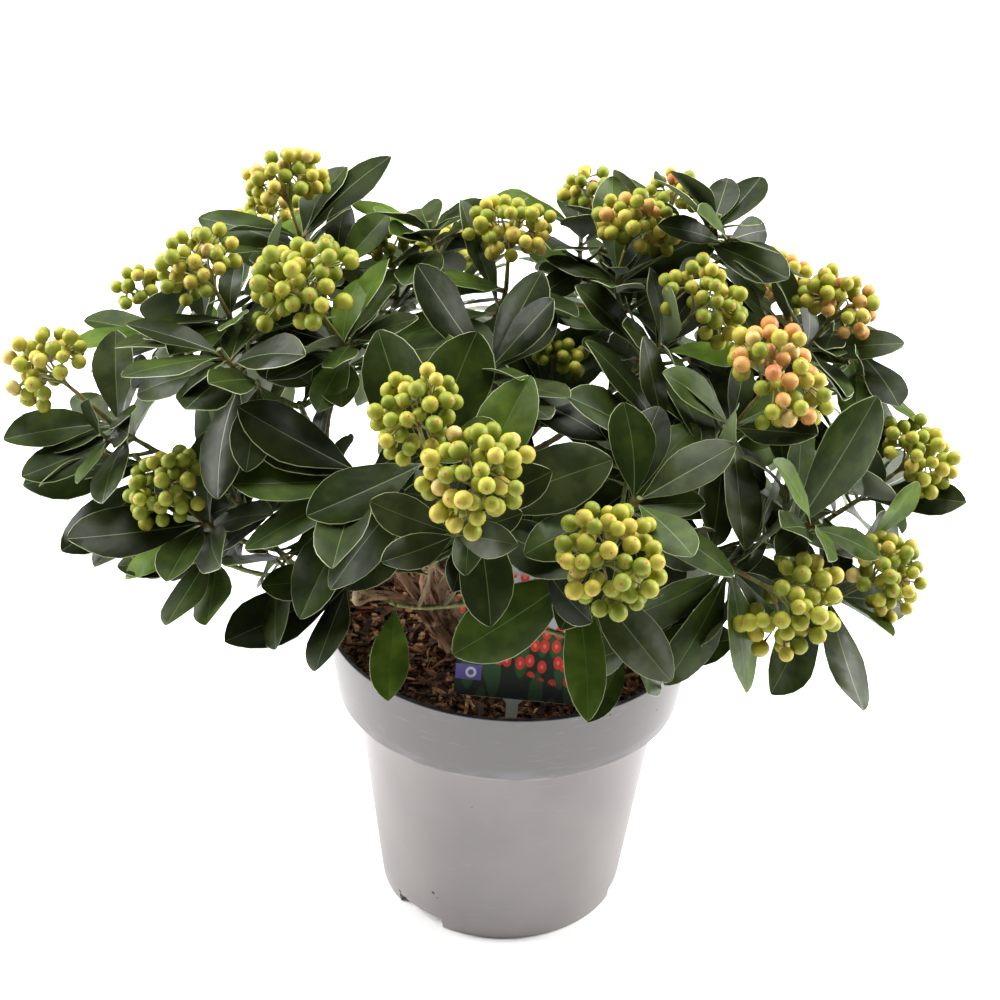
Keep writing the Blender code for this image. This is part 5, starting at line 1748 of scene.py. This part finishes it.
# The label is a printed plate on a pointed spike, one moulding of white plastic, pushed into the bed so
# that it leans back against the plant. Its front bears a plain printed pattern in the colours of leaf and
# berry.
LABEL_WIDTH = 0.082
LABEL_HEIGHT = 0.118
LABEL_THICKNESS = 0.0009
LABEL_CORNER = 0.005
SPIKE_WIDTH = 0.0085
SPIKE_BELOW_PLATE = 0.034
SPIKE_POINT = 0.010
LABEL_FOOT = Vector((0.003, -0.1045, 0.2275))
LABEL_LEAN = math.radians(22.0)
LABEL_ROLL = math.radians(3.0)
# How much wider the spike is where it meets the plate, and how far down that goes
SPIKE_SHOULDER = 0.003
# The print starts this far above the plate's lower edge
PRINT_START = 0.0002
PLAIN_FACE = 0
PRINTED_FACE = 1


def label_frame():
    """Where the label's plate meets its spike, leaning back and turned a little."""
    lean_back = Quaternion((1, 0, 0), -LABEL_LEAN)
    roll = Quaternion((0, 1, 0), LABEL_ROLL)
    return Matrix.Translation(LABEL_FOOT) @ (lean_back @ roll).to_matrix().to_4x4()


def label_outline():
    """The plate with rounded corners and its spike as one outline, X across and Z up."""
    half, outline = LABEL_WIDTH / 2, []
    corners = ((half, 0.0, 270), (half, LABEL_HEIGHT, 0), (-half, LABEL_HEIGHT, 90), (-half, 0.0, 180))
    for x, z, first in corners:
        middle_x = x - math.copysign(LABEL_CORNER, x)
        middle_z = z + LABEL_CORNER if z == 0 else z - LABEL_CORNER
        for step in range(7):
            angle = math.radians(first + 15 * step)
            out, up = LABEL_CORNER * math.cos(angle), LABEL_CORNER * math.sin(angle)
            outline.append((middle_x + out, middle_z + up))
    spike = SPIKE_WIDTH / 2
    right_side = [(spike + SPIKE_SHOULDER, 0.0), (spike, -SPIKE_SHOULDER),
                  (spike * 0.9, -SPIKE_BELOW_PLATE + SPIKE_POINT), (0.0, -SPIKE_BELOW_PLATE)]
    left_side = [(-x, z) for x, z in right_side[:3]]
    return outline + left_side + right_side[::-1]


def label_cells(place, scale, randomness):
    """How far each place of the label is from the nearest of many scattered middles."""
    values = {"Vector": place, "Scale": scale, "Randomness": randomness}
    return add_node(place.tree, "ShaderNodeTexVoronoi", values, voronoi_dimensions="2D")


white_plastic = Finish("white label plastic", Specular_IOR_Level=0.5)
label_smear = white_plastic.ease(white_plastic.mottle(130.0, 4.0), 0.55, 0.75)
soil_line = 1 - white_plastic.ease(white_plastic.height(), MULCH_TOP, MULCH_TOP + 0.010)
soiled = label_smear * (0.15 + soil_line * 0.6)
white_plastic.lead("Base Color", white_plastic.blend(soiled, paint(214, 216, 220), paint(110, 84, 62)))
white_plastic.lead("Roughness", 0.32 + label_smear * 0.2)

print_ink = Finish("label print", Specular_IOR_Level=0.5, Coat_Weight=0.3, Coat_Roughness=0.15)
across_label = add_node(print_ink.tree, "ShaderNodeUVMap", uv_map="print")
label_x, label_y, _ = parts_of(across_label)
dots = label_cells(across_label, 10.0, 0.55)
petals = label_cells(across_label * Vector((1.0, 0.45, 1.0)), 6.5, 0.8)
lower_field = 1 - print_ink.ease(label_y + label_x * 0.25, 0.62, 0.64)
dot_band = print_ink.ease(label_y + label_x * 0.2, 0.26, 0.28) * (1 - print_ink.ease(label_y, 0.72, 0.76))
stripe = (abs(label_y - 0.90) < 0.012) + (abs(label_y - 0.84) < 0.006)
ink = print_ink.blend(stripe, paint(188, 188, 196), paint(150, 142, 176))
ink = print_ink.blend(lower_field, ink, paint(26, 40, 28))
ink = print_ink.blend(lower_field * (1 - print_ink.ease(petals, 0.34, 0.42)), ink, paint(52, 86, 44))
ink = print_ink.blend(dot_band * (1 - print_ink.ease(dots, 0.36, 0.40)), ink, paint(222, 62, 50))
ink = print_ink.blend(dot_band * (1 - print_ink.ease(dots, 0.10, 0.16)), ink, paint(238, 124, 104))
badge = distance(across_label * Vector((1.0, LABEL_HEIGHT / LABEL_WIDTH, 1.0)), (0.13, 0.20, 0.0))
patch = (abs(label_x - 0.11) < 0.11) * (abs(label_y - 0.14) < 0.045)
ink = print_ink.blend(patch, ink, paint(104, 96, 168))
ink = print_ink.blend(abs(badge - 0.035) < 0.011, ink, paint(222, 220, 236))
print_ink.lead("Base Color", ink)
print_ink.lead("Roughness", 0.28 + print_ink.mottle(200.0) * 0.1)

outline = label_outline()
shape = bmesh.new()
placed = label_frame()
front = [shape.verts.new(placed @ Vector((x, -LABEL_THICKNESS / 2, z))) for x, z in outline]
back = [shape.verts.new(placed @ Vector((x, LABEL_THICKNESS / 2, z))) for x, z in outline]
printed = shape.faces.new(front)
printed.material_index = PRINTED_FACE
shape.faces.new(list(reversed(back)))
for k in range(len(outline)):
    n = (k + 1) % len(outline)
    shape.faces.new((front[k], back[k], back[n], front[n]))
uv = shape.loops.layers.uv.new("print")
for face in shape.faces:
    for loop in face.loops:
        x, _, z = placed.inverted() @ loop.vert.co
        loop[uv].uv = (x / LABEL_WIDTH + 0.5, z / LABEL_HEIGHT)
bmesh.ops.bisect_plane(
    shape, geom=[*shape.verts, *shape.edges, *shape.faces], plane_co=placed @ Vector((0, 0, PRINT_START)),
    plane_no=placed.to_3x3() @ Vector((0, 0, 1)),
)
for face in shape.faces:
    if (placed.inverted() @ face.calc_center_median()).z < 0:
        face.material_index = PLAIN_FACE
bmesh.ops.triangulate(shape, faces=shape.faces)
label = add_object("plant_label", finished(shape, "plant_label"), white_plastic, print_ink)
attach(label, "root")
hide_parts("label")


# Floor and light: a wide sheet of white paper under soft daylight lamps, bright enough that the sheet runs
# out into a white ground behind the plant.
FLOOR_REACH = 14.0
SKY_STRENGTH = 0.12

shape = bmesh.new()
bmesh.ops.create_circle(shape, cap_ends=True, segments=64, radius=FLOOR_REACH)
paper = two_tone(
    "white paper", 3.0, paint(248, 248, 248), paint(252, 252, 252), 4.0, Roughness=0.85,
    Specular_IOR_Level=0.2,
)
floor = add_object("floor", finished(shape, "floor"), paper)


def add_lamp(name, place, target, size, power):
    """A square soft box that stands at place and faces target."""
    lamp = bpy.data.lights.new(name, "AREA")
    lamp.shape = "SQUARE"
    lamp.size = size
    lamp.energy = power
    made = bpy.data.objects.new(name, lamp)
    bpy.context.scene.collection.objects.link(made)
    aim = (Vector(target) - Vector(place)).to_track_quat("-Z", "Y")
    made.matrix_world = Matrix.Translation(place) @ aim.to_matrix().to_4x4()


add_lamp("top", (0.0, 0.6, 2.7), (0, 0, 0.2), 2.2, 150.0)
add_lamp("left", (-2.2, 0.4, 1.2), (0, 0, 0.25), 1.6, 128.0)
add_lamp("right", (2.2, 0.5, 1.2), (0, 0, 0.25), 1.6, 128.0)
sky = bpy.data.worlds.new("sky")
sky.use_nodes = True
sky_light = sky.node_tree.nodes["Background"].inputs
sky_light["Color"].default_value = (1.0, 1.0, 1.0, 1.0)
sky_light["Strength"].default_value = SKY_STRENGTH
bpy.context.scene.world = sky
bpy.context.scene.view_settings.view_transform = "Standard"
